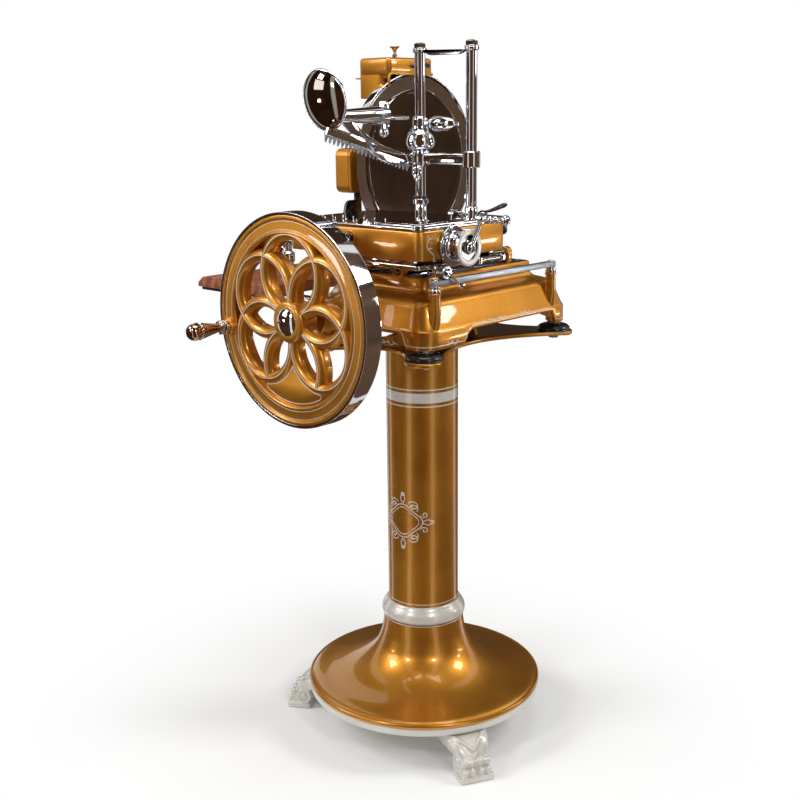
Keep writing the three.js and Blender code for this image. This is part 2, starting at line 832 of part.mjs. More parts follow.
// Six overlapping ring ribs make six petals; a web fills the space at the bottom
function flywheelShape() {
  const outer = wheelRadius - bandThickness - seatGap;
  const inner = outer - rimWidth;
  const lip = rimLip;
  const orbit = inner / 2;
  const rim = alongY(ring([
    [inner, lip], [inner + lip, 0], [inner + 2 * lip, 0.7 * lip],
    [outer - 2 * lip, 0.7 * lip], [outer - 1.5 * lip, 0], [outer, 0],
    [outer, wheelDepth], [inner, wheelDepth],
  ], fineSides));
  const half = ribWidth / 2;
  const rib = alongY(ring([
    [orbit - half, half], [orbit, lip / 2], [orbit + half, half],
    [orbit + half, ribDepth], [orbit - half, ribDepth],
  ], middleSides));
  const disc = alongY(post(orbit + half / 2, wheelDepth, middleSides));
  const place = (shape, index) => {
    const angle = (fullTurn * (index + 0.5)) / petalCount;
    return at(shape, orbit * Math.cos(angle), 0, orbit * Math.sin(angle));
  };
  const openRibs = [0, 1, 2, 3, 5].map((index) => place(rib, index));
  const bottomRib = common(place(rib, 4), join(place(disc, 3), place(disc, 5)));
  const fan = new THREE.Shape([
    new THREE.Vector2(0, 0),
    new THREE.Vector2(-inner, -inner * 1.25),
    new THREE.Vector2(inner, -inner * 1.25),
  ]);
  const web = common(cut(at(frontSlab(fan, lip * 3), 0, lip * 1.5, 0), place(disc, 3), place(disc, 5)),
    alongY(post(inner + lip, wheelDepth, fineSides)));
  const hub = alongY(turned([
    [0, -2 * lip], [hubRadius * 0.84, -2 * lip], [hubRadius * 0.94, -lip], [hubRadius, lip],
    [hubRadius * 1.1, wheelDepth], [0, wheelDepth],
  ], middleSides));
  const boss = at(alongY(turned([
    [0, -2 * lip], [gripRadius * 0.9, -2 * lip], [gripRadius * 1.1, lip],
    [gripRadius * 1.1, wheelDepth / 2], [0, wheelDepth / 2],
  ], smallSides)), gripX - wheelX, 0, gripZ - wheelZ);
  const shaftBore = at(alongY(post(mainShaftRadius + seatGap, 2 * wheelDepth, smallSides)),
    0, -overrun - 2 * lip, 0);
  const body = cut(join(rim, ...openRibs, bottomRib, web, hub, boss), shaftBore);
  return join(at(body, wheelX, wheelFront, wheelZ), gripStudShape());
}

function wheelBandShape() {
  const inner = wheelRadius - bandThickness;
  return wheelRing([[inner, 0], [wheelRadius, 0], [wheelRadius, wheelDepth], [inner, wheelDepth]],
    fineSides);
}

// The shaft ends in a domed cap that holds the wheel on its seat
function mainShaftShape() {
  const seat = -2 * rimLip - seatGap;
  const rise = hubCapRadius * 0.36;
  const back = crownY + bevelModule - wheelFront;
  const cap = turned([
    [0, seat - rise], [hubCapRadius * 0.45, seat - rise * 0.9], [hubCapRadius * 0.8, seat - rise * 0.55],
    [hubCapRadius, seat - hubCapEdge], [hubCapRadius, seat], [0, seat],
  ], middleSides);
  const shaft = at(post(mainShaftRadius, back - seat + hubCapEdge, smallSides), 0, 0,
    seat - hubCapEdge);
  return at(alongY(join(cap, shaft)), wheelX, wheelFront, wheelZ);
}

const gripX = wheelX + gripOrbit * Math.cos(radians(gripAngle));
const gripZ = wheelZ + gripOrbit * Math.sin(radians(gripAngle));
const gripBase = wheelFront - 2 * rimLip - seatGap;

function gripStudShape() {
  const inWheel = wheelDepth * 0.6;
  const front = gripBase - gripLength + gripRadius;
  return at(alongY(join(
    post(gripStudRadius, gripBase + inWheel - front, tinySides),
    at(post(gripRadius * 0.85, gripCollar, smallSides), 0, 0, gripBase - gripCollar - front))),
    gripX, front, gripZ);
}

// The turned grip narrows behind a waist and ends in a bulb
function gripShape() {
  const length = gripLength - gripCollar - seatGap;
  const bore = runningBore(gripStudRadius);
  const r = gripRadius;
  const profileShares = [
    [0, 0.55], [0.03, 0.78], [0.1, 0.8], [0.14, 0.66], [0.3, 0.76], [0.55, 0.96],
    [0.75, 1.1], [0.88, 1.08], [0.96, 0.8], [1, 0.4],
  ];
  const depth = length - gripRadius + seatGap;
  const outer = profileShares.map(([along, share]) => [share * r, -along * length]);
  const shape = turned([[0, -length - gripTip], ...outer.reverse(), [0, 0]], smallSides);
  return at(alongY(cut(shape, at(post(bore, depth + overrun, smallSides), 0, 0, -depth))),
    gripX, gripBase - gripCollar - seatGap, gripZ);
}

// Drive train

// A straight-toothed bevel gear: axis +Z, teeth facing the apex above it
function bevelGear(teeth, otherTeeth) {
  const slope = Math.atan2(teeth, otherTeeth);
  const pitchRadius = (teeth * bevelModule) / 2;
  const apex = pitchRadius / Math.tan(slope);
  const coneLength = Math.hypot(pitchRadius, apex);
  const small = 1 - bevelFace / coneLength;
  const tipShares = [0.14, 0.9];
  const rootShares = [0.27, -1.1];
  const corners = [[-rootShares[0], rootShares[1]], [-tipShares[0], tipShares[1]],
    [tipShares[0], tipShares[1]], [rootShares[0], rootShares[1]]];
  const toothed = (scale) => Array.from({ length: teeth }, (_, tooth) =>
    corners.map(([turn, depth]) => {
      const angle = (fullTurn * (tooth + turn)) / teeth;
      const radius = scale * (pitchRadius + depth * bevelModule * Math.cos(slope));
      const height = apex + scale * (depth * bevelModule * Math.sin(slope) - apex);
      return [radius, angle, height];
    })).flat();
  const large = toothed(1);
  const inner = toothed(small);
  const rootRadius = large[0][0];
  const backHeight = -bevelModule * 2.2;
  const back = large.map(([, angle]) => [rootRadius * 0.9, angle, backHeight]);
  const rings = [back, large, inner];
  const count = large.length;
  const positions = rings.flat().flatMap(([radius, angle, height]) =>
    [radius * Math.cos(angle), radius * Math.sin(angle), height]);
  const top = inner[0][2];
  positions.push(0, 0, backHeight, 0, 0, top);
  const faces = [];
  for (let i = 0; i < count; i += 1) {
    const j = (i + 1) % count;
    for (const level of [0, count]) {
      faces.push(level + i, level + j, level + count + j);
      faces.push(level + i, level + count + j, level + count + i);
    }
    faces.push(3 * count, j, i);
    faces.push(3 * count + 1, 2 * count + i, 2 * count + j);
  }
  const shape = new THREE.BufferGeometry();
  shape.setAttribute('position', new THREE.Float32BufferAttribute(positions, 3));
  shape.setIndex(faces);
  return shape;
}

function crownGearShape() {
  const hubRear = bevelModule * 2 + gearHubLength;
  const gear = join(bevelGear(crownTeeth, bevelPinionTeeth),
    at(post(mainShaftRadius * 1.7, hubRear, smallSides), 0, 0, -hubRear));
  const bore = at(post(mainShaftRadius + seatGap, 2 * hubRear, smallSides), 0, 0, -hubRear - overrun);
  return at(alongY(cut(gear, bore)), wheelX, crownY, wheelZ);
}

function bevelPinionShape() {
  const hubRear = bevelModule * 2 + gearHubLength;
  const gear = bevelGear(bevelPinionTeeth, crownTeeth).rotateZ(Math.PI / bevelPinionTeeth);
  const body = join(gear, at(post(crossShaftRadius * 1.5, hubRear, smallSides), 0, 0, -hubRear));
  const bore = at(post(crossShaftRadius + seatGap, 4 * hubRear, smallSides), 0, 0, -hubRear - overrun);
  return at(alongX(cut(body, bore)), pinionX, bladeY, wheelZ);
}

function crossShaftShape() {
  const left = sprocketX - sprocketThickness;
  const right = pinionX + bevelFace / 2;
  return at(alongX(post(crossShaftRadius, right - left, smallSides)), left, bladeY, wheelZ);
}

function sprocket(teeth, boreRadius) {
  const pitchRadius = (teeth * chainPitch) / fullTurn;
  const tooth = chainPitch / 4;
  const points = Array.from({ length: teeth * 4 }, (_, i) => {
    const turnShares = [0.2, 0.42, 0.58, 0.8];
    const angle = (fullTurn * (Math.floor(i / 4) + turnShares[i % 4])) / teeth;
    const radius = i % 4 === 0 || i % 4 === 3 ? pitchRadius - tooth : pitchRadius + tooth;
    return new THREE.Vector2(radius * Math.cos(angle), radius * Math.sin(angle));
  });
  const wheel = slab(new THREE.Shape(points), sprocketThickness);
  const hub = at(post(boreRadius * 1.5, 2 * sprocketThickness, smallSides), 0, 0, 0);
  return alongX(cut(join(wheel, hub), at(post(boreRadius + seatGap, 4 * sprocketThickness, smallSides),
    0, 0, -overrun)));
}

// The loop that the chain follows, drawn in the YZ plane round both sprockets
function chainLoop(grow) {
  const low = driveSprocketRadius + grow;
  const high = bladeSprocketRadius + grow;
  const lean = Math.asin((low - high) / (bladeZ - wheelZ));
  const points = [];
  const steps = 6;
  for (let i = 0; i <= steps; i += 1) {
    const angle = Math.PI - lean + ((Math.PI + 2 * lean) * i) / steps;
    points.push(new THREE.Vector2(bladeY + low * Math.cos(angle), wheelZ + low * Math.sin(angle)));
  }
  for (let i = 0; i <= steps; i += 1) {
    const angle = lean + ((Math.PI - 2 * lean) * i) / steps;
    points.push(new THREE.Vector2(bladeY + high * Math.cos(angle), bladeZ + high * Math.sin(angle)));
  }
  return points;
}

function chainShapes() {
  const half = chainPitch * 0.3;
  const loop = new THREE.Shape(chainLoop(half));
  loop.holes.push(new THREE.Path(chainLoop(-half)));
  const plate = sideSlab(loop, chainPlate);
  const left = sprocketLeft - runningGap - chainPlate;
  const right = sprocketLeft + sprocketThickness + runningGap;
  const count = Math.floor((bladeZ - wheelZ - driveSprocketRadius - bladeSprocketRadius) / chainPitch);
  const start = wheelZ + driveSprocketRadius;
  const pin = alongX(post(half * 0.7, right - left, 4));
  const reach = (z) => THREE.MathUtils.lerp(driveSprocketRadius, bladeSprocketRadius,
    (z - wheelZ) / (bladeZ - wheelZ));
  const pinZs = Array.from({ length: Math.ceil(count / 4) }, (_, i) => start + 4 * i * chainPitch);
  const pins = pinZs.flatMap((z) =>
    [-1, 1].map((side) => at(pin, left + chainPlate / 2, bladeY + side * reach(z), z)));
  return join(at(plate, left, 0, 0), at(plate, right, 0, 0), ...pins);
}

// Chain case: a tub open to the left, closed by a cover plate

function caseOutline(inset) {
  const half = caseWidth / 2 - inset;
  const arm = caseArmHeight / 2 - inset;
  const front = caseArmFront + inset;
  const bottom = baseBottom + baseWall + inset;
  const armRound = arm * 0.35;
  const armMiddle = bladeZ - caseWidth / 9;
  const shape = new THREE.Shape();
  shape.moveTo(bladeY - half, bottom);
  shape.lineTo(bladeY + half, bottom);
  shape.lineTo(bladeY + half, caseNeckTop - inset);
  shape.lineTo(bladeY + inset, caseNeckTop - inset);
  shape.lineTo(bladeY + inset, armMiddle + arm);
  shape.lineTo(front + armRound, armMiddle + arm);
  shape.absarc(front + armRound, armMiddle + arm - armRound, armRound, quarterTurn, Math.PI, false);
  shape.absarc(front + armRound, armMiddle - arm + armRound, armRound, Math.PI, 1.5 * Math.PI, false);
  shape.lineTo(bladeY - half, armMiddle - arm);
  return shape;
}

const caseDepth = caseRight - caseLeft;
const tubLeft = caseLeft + caseWall;

function chainCaseShape() {
  const shell = at(sideSlab(caseOutline(0), caseRight - tubLeft), tubLeft, 0, 0);
  const hollow = at(sideSlab(caseOutline(caseWall), caseRight - tubLeft), tubLeft - caseWall, 0, 0);
  const wallX = leftWallX(baseBottom + baseWall);
  const foot = block(caseRight - caseWall / 2, wallX - seatGap,
    bladeY - caseWidth / 2, bladeY + caseWidth / 2,
    baseBottom + baseWall, baseBottom + baseWall + caseFootHeight);
  const footLean = block(wallX - seatGap - overrun, baseRight, bladeY - caseWidth, bladeY + caseWidth,
    0, plinthTop);
  const bearingBoss = at(alongX(post(bushRadius * 1.5, caseWall * 2, smallSides)),
    caseRight - caseWall, bladeY, bladeZ);
  const bladeBore = at(alongX(post(bushRadius + seatGap, caseDepth, smallSides)), tubLeft, bladeY, bladeZ);
  const crossBore = at(alongX(post(crossBushRadius + seatGap, baseRight - caseLeft, smallSides)), tubLeft,
    bladeY, wheelZ);
  const footHollow = block(caseRight + caseWall, baseRight, bladeY - caseWidth / 2 + caseWall,
    bladeY + caseWidth / 2 - caseWall, 0, baseBottom + caseFootHeight);
  const guardPads = guardPadAngles.map((angle) => at(alongX(post(guardPadRadius,
    guardFlangeLeft - seatGap - caseRight + caseWall / 2, tinySides)), caseRight - caseWall / 2,
    bladeY + guardPadOrbit * Math.cos(angle), bladeZ + guardPadOrbit * Math.sin(angle)));
  return cut(join(cut(shell, hollow), cut(foot, footLean, footHollow), bearingBoss, ...guardPads),
    bladeBore, crossBore);
}

function chainCoverShape() {
  const plate = sideSlab(caseOutline(seatGap), caseWall - seatGap);
  return at(plate, caseLeft, 0, 0);
}

function crossBearingShape() {
  const bush = alongX(sleeve(crossBushRadius, runningBore(crossShaftRadius), baseWall * 2));
  return at(bush, leftWallX(wheelZ) + seatGap, bladeY, wheelZ);
}

function bladeBearingShape() {
  const bush = alongX(sleeve(bushRadius, runningBore(bladeShaftRadius), caseWall * 2));
  return at(bush, caseRight - caseWall, bladeY, bladeZ);
}

// Blade, its cover disc and the guard ring

const guardFlangeLeft = bladePlane - guardDepth - guardWall;
const guardPadOrbit = guardRadius - guardFlange * 0.7;
const guardPadAngles = [radians(-90), radians(84)];
const bladeHubLeft = caseRight + caseWall + runningGap;

function bladeAxis(shape) {
  return at(alongX(shape), 0, bladeY, bladeZ);
}

function bladeShape() {
  const recess = coverThickness - coverProud;
  const back = bladePlane - bladeThickness;
  return bladeAxis(ring([
    [bladeShaftRadius + seatGap, bladeHubLeft], [bladeShaftRadius * 2.6, bladeHubLeft],
    [bladeShaftRadius * 3.2, back], [bladeRadius - 3 * bladeThickness, back],
    [bladeRadius, bladePlane - bladeThickness / 10], [bladeRadius - bladeLand, bladePlane],
    [coverRadius + runningGap, bladePlane], [coverRadius, bladePlane - recess],
    [bladeShaftRadius + seatGap, bladePlane - recess],
  ], fineSides));
}

function bladeCoverShape() {
  const floor = bladePlane - coverThickness + coverProud + seatGap;
  const front = floor + coverThickness;
  return bladeAxis(turned([
    [0, floor], [coverRadius - coverEdge, floor], [coverRadius - coverEdge, front - coverEdge],
    [coverRadius - 3 * coverEdge, front], [0, front + coverCrown],
  ], fineSides));
}

function bladeShaftShape() {
  const left = sprocketX - sprocketThickness;
  const right = bladePlane - coverThickness + coverProud;
  return join(bladeAxis(at(post(bladeShaftRadius, right - left, smallSides), 0, 0, left)),
    at(sprocket(bladeSprocketTeeth, bladeShaftRadius / 2), sprocketLeft, bladeY, bladeZ));
}

// The guard is an angle section swept round the rear of the blade
function guardShape() {
  const section = [
    [guardRadius - guardFlange, guardFlangeLeft], [guardRadius, guardFlangeLeft],
    [guardRadius, bladePlane + guardProud], [guardRadius - guardWall, bladePlane + guardProud],
    [guardRadius - guardWall, guardFlangeLeft + guardWall],
    [guardRadius - guardFlange, guardFlangeLeft + guardWall],
  ];
  const whole = ring(section, fineSides);
  const wedge = new THREE.Shape();
  const reach = guardRadius * 2;
  wedge.moveTo(0, 0);
  wedge.lineTo(reach * Math.cos(radians(guardEnd)), reach * Math.sin(radians(guardEnd)));
  wedge.lineTo(-reach, 0);
  wedge.lineTo(reach * Math.cos(radians(guardStart)), reach * Math.sin(radians(guardStart)));
  const open = at(sideSlab(wedge, 2 * guardRadius), bladePlane - guardRadius, 0, 0);
  return at(cut(alongX(whole), open), 0, bladeY, bladeZ);
}

// Sharpener: a rounded cover on top of the guard with its stone and plunger

const sharpenerBottom = bladeZ + guardRadius - sharpenerSkirt;
const sharpenerTop = sharpenerBottom + sharpenerHeight;
const sharpenerMiddleX = (sharpenerLeft + sharpenerRight) / 2 + sharpenerKnobShiftX;
const sharpenerKnobY = (sharpenerFront + sharpenerBack) / 2 + sharpenerKnobShiftY;

function sharpenerShape() {
  const outer = roundedRectangle(sharpenerLeft, sharpenerRight, sharpenerFront, sharpenerBack,
    sharpenerCorner);
  const box = softSlab(outer, sharpenerTop - sharpenerBottom, sharpenerCorner / 2);
  const w = sharpenerWall;
  const hollow = slab(roundedRectangle(sharpenerLeft + w, sharpenerRight - w, sharpenerFront + w,
    sharpenerBack - w, sharpenerCorner / 2), sharpenerTop - sharpenerBottom - w + overrun);
  const shell = cut(at(box, 0, 0, sharpenerBottom), at(hollow, 0, 0, sharpenerBottom - overrun));
  const ringClear = at(alongX(post(guardRadius + seatGap, guardDepth * 6, fineSides)),
    bladePlane - guardDepth * 3, bladeY, bladeZ);
  const caseClear = block(sharpenerLeft - overrun, sharpenerRight - guardDepth * 3, bladeY - guardRadius,
    bladeY + guardRadius, 0, sharpenerBottom);
  const sideLip = block(sharpenerLeft - sharpenerCorner, sharpenerLeft + w / 2, sharpenerFront,
    sharpenerFront + 3 * sharpenerCorner, sharpenerTop - 4 * sharpenerCorner,
    sharpenerTop - 4 * sharpenerCorner + sharpenerLipThickness);
  const bore = at(post(runningBore(sharpenerSpindleRadius), sharpenerTop, smallSides), sharpenerMiddleX,
    sharpenerKnobY, bladeZ);
  return cut(join(shell, sideLip), ringClear, caseClear, bore);
}

function stoneShape() {
  const disc = post(stoneRadius, stoneThickness, smallSides);
  const arm = post(sharpenerSpindleRadius, stoneThickness, tinySides);
  return at(join(disc, arm), sharpenerMiddleX, sharpenerKnobY, bladeZ + guardRadius - stoneThickness / 2);
}

function sharpenerKnobShape() {
  const r = sharpenerKnobRadius;
  const s = sharpenerSpindleRadius;
  const rise = sharpenerKnobRise;
  const plunge = sharpenerTop + sharpenerKnobSeat - (bladeZ + guardRadius + stoneThickness / 2) - seatGap;
  return at(turned([
    [0, -plunge], [s, -plunge], [s, rise * 0.2], [s * 0.6, rise * 0.35], [s * 0.7, rise * 0.55],
    [r * 0.7, rise * 0.82], [r, rise * 0.93], [r, rise], [0, rise * 0.94],
  ], smallSides), sharpenerMiddleX, sharpenerKnobY, sharpenerTop + sharpenerKnobSeat);
}

// Receiving board, its rails, the slice post and the deflector

function boardShape() {
  const bottom = boardTop - boardThickness;
  const slant = boardThickness;
  const outline = new THREE.Shape([
    new THREE.Vector2(boardLeft, bottom),
    new THREE.Vector2(boardRight, bottom),
    new THREE.Vector2(boardRight, boardTop),
    new THREE.Vector2(boardLeft + slant * 0.8, boardTop),
    new THREE.Vector2(boardLeft, boardTop - slant * 0.6),
  ]);
  const plank = at(frontSlab(outline, boardBack - boardFront), 0, boardFront, 0);
  const grooveWidth = boardRailWidth + 2 * runningGap;
  const grooves = boardRailYs.map((y) => block(boardLeft + boardRailInset / 2, boardRight + overrun,
    y - grooveWidth / 2, y + grooveWidth / 2, bottom - overrun, bottom + boardGroove + seatGap));
  return cut(plank, ...grooves);
}

const boardRailYs = [boardFront + boardRailInset, boardBack - boardRailInset];
const boardRailTop = boardTop - boardThickness + boardGroove;

function boardCarrierShape() {
  const right = leftWallX(boardRailTop) - seatGap;
  const bars = boardRailYs.map((y) => block(boardLeft + boardRailInset, right, y - boardRailWidth / 2,
    y + boardRailWidth / 2, boardRailTop - boardRailThickness, boardRailTop));
  const lean = at(sideSlab(new THREE.Shape([
    new THREE.Vector2(boardFront, 0), new THREE.Vector2(boardBack, 0),
    new THREE.Vector2(boardBack, plinthTop), new THREE.Vector2(boardFront, plinthTop),
  ]), baseRight), leftWallX(boardRailTop - boardRailThickness) - seatGap, 0, 0);
  const tie = block(boardLeft + boardRailInset, boardLeft + boardRailInset + boardRailWidth, boardRailYs[0],
    boardRailYs[1], boardRailTop - 1.3 * boardRailThickness, boardTop - boardThickness - seatGap);
  return cut(join(...bars, tie), lean);
}

const slicePostX = boardRight - 2.2 * pillarRadius;
const slicePostY = boardFront + slicePostInset;

function slicePostShape() {
  const r = slicePostRadius;
  const pillar = turned([
    [0, 0], [r * 1.35, 0], [r * 1.35, r * 0.4], [r, r * 0.6], [r, slicePostHeight * 0.5],
    [r * 1.25, slicePostHeight * 0.55], [r * 1.25, slicePostHeight * 0.72],
    [r * 0.8, slicePostHeight * 0.78], [r * 0.8, slicePostHeight], [0, slicePostHeight + slicePostCrown],
  ], smallSides);
  const finger = at(alongX(sleeve(r * 2.4, r * 2, r * 0.5, smallSides)).rotateZ(-quarterTurn),
    -r * 2.5, r * 0.25, slicePostHeight * 0.8);
  const keep = block(-r * 6, 0, -r, r, slicePostHeight * 0.2, slicePostHeight * 0.8);
  return at(join(pillar, common(finger, keep)), slicePostX, slicePostY, boardTop + seatGap);
}

function deflectorShape() {
  const top = tableTop + 4 * tableWall;
  const bottom = tableTop - 2 * tableWall;
  const front = caseArmFront - 2 * tableWall;
  const blade = new THREE.Shape();
  const middle = bladeZ - caseWidth / 9 - caseArmHeight / 2 - seatGap;
  blade.moveTo(front, bottom);
  blade.lineTo(front + caseWidth * 0.6, bottom);
  blade.lineTo(front + caseWidth * 0.6, middle);
  blade.lineTo(front + caseWidth * 0.4, middle);
  blade.lineTo(front + caseWidth * 0.4, top);
  blade.quadraticCurveTo(front + caseWidth * 0.1, top, front, bottom);
  return at(sideSlab(blade, tableWall, 5), caseRight - 2 * tableWall, 0, 0);
}

// Carriage

function carriagePlateShape() {
  const plate = slab(roundedRectangle(carriageLeft, carriageRight, carriageFront, carriageBack,
    carriagePlateThickness), carriagePlateThickness, 3);
  const wayHeight = tableBottom - carriageTop - seatGap;
  const ways = [carriageFront, carriageBack - wayWidth].map((y) => block(carriageLeft + wayWidth,
    carriageRight - wayWidth, y, y + wayWidth, carriageTop - seatGap, carriageTop + wayHeight));
  const lugWidth = guideRodRadius * 2.4;
  const lugs = guideRodXs.map((x) => block(x - lugWidth / 2, x + lugWidth / 2, carriageSlideFront,
    carriageSlideFront + carriageSlideLength, guideRodZ - guideRodRadius * 1.15,
    carriagePlateBottom + seatGap));
  const bores = guideRodXs.map((x) => at(alongY(post(guideRodRadius + seatGap,
    carriageSlideLength + 2 * overrun, smallSides)), x, carriageSlideFront - overrun, guideRodZ));
  const nut = block(feedNutX, feedNutX + feedNutWidth, feedY - feedNutWidth / 2, feedY + feedNutWidth / 2,
    carriageTop - overrun, feedZ + feedNutWidth / 2);
  const threadBore = runningBore(feedScrewRadius + feedThreadDepth);
  const nutBore = at(alongX(post(threadBore, 2 * feedNutWidth, smallSides)), feedNutX - overrun, feedY,
    feedZ);
  return cut(join(at(plate, 0, 0, carriagePlateBottom), ...ways, ...lugs, nut), ...bores, nutBore);
}

const rollerZ = railTop + rollerRadius + seatGap;
const rollerLeft = carriageRight + 3 * rollerAxleRadius / 2 + runningGap;

function carriageBracketShape() {
  const a = rollerAxleRadius;
  const left = carriageRight + seatGap;
  const cheek = new THREE.Shape();
  cheek.moveTo(rollerY - 3 * a, rollerZ - 2 * a);
  cheek.lineTo(rollerY + 3 * a, rollerZ - 2 * a);
  cheek.lineTo(rollerY + 4 * a, carriageTop);
  cheek.lineTo(rollerY - 4 * a, carriageTop);
  const plate = at(sideSlab(cheek, 1.5 * a), left, 0, 0);
  const axleLength = rollerLeft + rollerWidth + runningGap + a - left;
  const axle = at(alongX(post(a, axleLength, tinySides)), left, rollerY, rollerZ);
  const head = at(alongX(post(1.6 * a, a, tinySides)), left + axleLength - a, rollerY, rollerZ);
  const arm = new THREE.Shape([
    new THREE.Vector2(rollerY, rollerZ + 1.2 * a), new THREE.Vector2(rollerY - 1.2 * a, rollerZ),
    new THREE.Vector2(rollerY + 8 * a, rollerZ - 7 * a),
    new THREE.Vector2(rollerY + 9 * a, rollerZ - 6 * a),
  ]);
  const lever = at(sideSlab(arm, a * 0.7), left + axleLength - a, 0, 0);
  const knob = at(alongX(post(1.4 * a, 2 * a, tinySides)), left + axleLength - a, rollerY + 8 * a,
    rollerZ - 6.2 * a);
  return join(plate, axle, head, lever, knob);
}

function rollerShape() {
  const bore = runningBore(rollerAxleRadius);
  const r = rollerRadius;
  return at(alongX(ring([
    [bore, 0], [r - rollerEdge, 0], [r, rollerEdge], [r, rollerWidth - rollerEdge],
    [r - rollerEdge, rollerWidth], [bore, rollerWidth],
  ], smallSides)), rollerLeft, rollerY, rollerZ);
}

// Table: a deep tub turned upside down with a polished plate on top

function tableCastingShape() {
  const outer = roundedRectangle(tableLeft, tableRight, tableFront, tableBack, tableCorner);
  const w = tableWall;
  const flange = wayWidth + w;
  const box = slab(outer, tableTop - tableBottom);
  const hollow = slab(roundedRectangle(tableLeft + w, tableRight - w, tableFront + w, tableBack - w,
    tableCorner - w), tableTop - tableBottom - w - w + overrun);
  const mouth = slab(roundedRectangle(tableLeft + w, tableRight - flange, tableFront + flange,
    tableBack - flange, w), tableTop, 3);
  const shaftBore = at(alongX(post(runningBore(feedScrewRadius), tableRight, smallSides)),
    tableRight - tableCorner, feedY, feedZ - tableBottom);
  const knobHole = at(alongY(post(frontKnobRadius * 1.5, 3 * w, smallSides)), frontKnobX,
    tableFront - w, frontKnobZ - tableBottom);
  const shell = cut(box, at(hollow, 0, 0, w + w), at(mouth, 0, 0, -overrun), shaftBore, knobHole);
  return join(at(shell, 0, 0, tableBottom), frontKnobShape(), rearKnobShape());
}

// A low round knob on the rear wall near its right corner
function rearKnobShape() {
  const r = rearKnobRadius;
  const knob = turned([
    [0, -tableWall], [r * 0.7, -tableWall], [r * 0.7, rearKnobDepth * 0.2], [r, rearKnobDepth * 0.35],
    [r, rearKnobDepth * 0.8], [r * 0.7, rearKnobDepth], [0, rearKnobDepth],
  ], smallSides);
  return at(alongY(knob), tableRight - rearKnobInset, tableBack, rearKnobZ);
}

// A chrome lock knob looks out of a round window in the front wall
function frontKnobShape() {
  const r = frontKnobRadius;
  const stem = turned([
    [0, -r * 1.1], [r * 0.6, -r * 0.9], [r, -r * 0.3], [r, r * 0.4], [r * 0.5, r * 0.7],
    [r * 1.3, r * 0.9], [r * 1.3, r * 1.3], [0, r * 1.3],
  ], smallSides);
  const back = block(-2 * r, 2 * r, -tableWall / 2, tableWall / 2, -r * 0.3, r * 0.3);
  return at(join(alongY(stem), back), frontKnobX, tableFront + tableWall, frontKnobZ);
}

function tablePlateShape() {
  const grow = tablePlateProud;
  const plate = slab(roundedRectangle(tableLeft, tableRight, tableFront - grow, tableBack + grow,
    tableCorner), tablePlateThickness);
  const lip = slab(roundedRectangle(raisedLipStart, tableRight, tableFront - grow, tableBack + grow,
    tableCorner), tablePlateThickness + raisedLipHeight);
  const flatArea = slab(roundedRectangle(raisedLipStart + tableCorner, tableRight - tableCorner,
    tableFront + tableCorner, tableBack - tableCorner, tableWall), tableTop, 3);
  const spike = post(spikeRadius, spikeHeight + spikeRoot, 4, spikeRadius / 6);
  const spikes = Array.from({ length: spikeCount }, (_, i) => {
    const row = i % 2;
    const share = (Math.floor(i / 2) + 0.5 + row / 2) / (spikeCount / 2 + 1);
    const x = THREE.MathUtils.lerp(tableLeft + tableCorner, raisedLipStart - tableCorner, share);
    const y = tableFront + tableCorner + row * 2 * tableCorner;
    return at(spike, x, y, tablePlateThickness - spikeRoot);
  });
  const postBores = postXs.map((x) =>
    at(post(postNeckRadius + seatGap, tableTop, smallSides), x, 0, -overrun));
  const raised = cut(lip, at(flatArea, 0, 0, tablePlateThickness));
  const bored = cut(join(plate, raised, ...spikes), ...postBores);
  return join(at(bored, 0, 0, tableTop + seatGap), fenceClampShape());
}

function fenceClampShape() {
  const r = tableWall + fenceSink;
  const length = postSpacing / 4;
  const x = raisedLipStart + length / 2;
  const bar = block(x - length / 2, x + length / 2, -r, r, 0, r / 2);
  const drum = at(post(r, 2 * r, smallSides), x - length / 4, 0, r / 2 - fenceSink);
  const tab = block(x - length / 4, x + length / 2, -r / 3, r / 3, r / 2 - fenceSink, 1.6 * r);
  return at(join(bar, drum, tab), 0, 0, plateTop - fenceSink);
}

// A thumb lever with a leaf-shaped end lies over the rear right corner of the table
function fenceLeverShape() {
  const r = fenceLeverRadius;
  const length = fenceLeverLength;
  const slope = Math.atan2(fenceLeverRise, length);
  const hub = post(r * 0.8, r, smallSides);
  const leaf = at(ball(r, smallSides).scale(2.8, 0.6, 1), length - 2.8 * r, 0, 0);
  const stem = alongX(post(r * 0.3, length / 2, tinySides, r * 0.5));
  const arm = join(leaf, stem).rotateY(-slope);
  return at(join(hub, at(arm, 0, 0, r * 0.6)), fenceLeverX, fenceLeverY,
    plateTop + raisedLipHeight + seatGap);
}

// Feed screw and crank

function feedAxis(shape, x) {
  return at(alongX(shape), x, feedY, feedZ);
}

// The thread is a row of rounded turns at the screw's pitch
function feedScrewShape() {
  const start = tableLeft + 2 * tableWall;
  const end = tableRight + feedFlangeThickness;
  const r = feedScrewRadius;
  const turns = Math.floor((tableRight - tableWall - start) / feedPitch) - 1;
  const profile = [[0, 0], [r, 0]];
  for (let i = 0; i < turns; i += 1) {
    const here = (i + 0.5) * feedPitch;
    profile.push([r, here], [r + feedThreadDepth, here + feedPitch / 2]);
  }
  profile.push([r, (turns + 0.5) * feedPitch], [r, end - start], [0, end - start]);
  return feedAxis(turned(profile, tinySides), start);
}

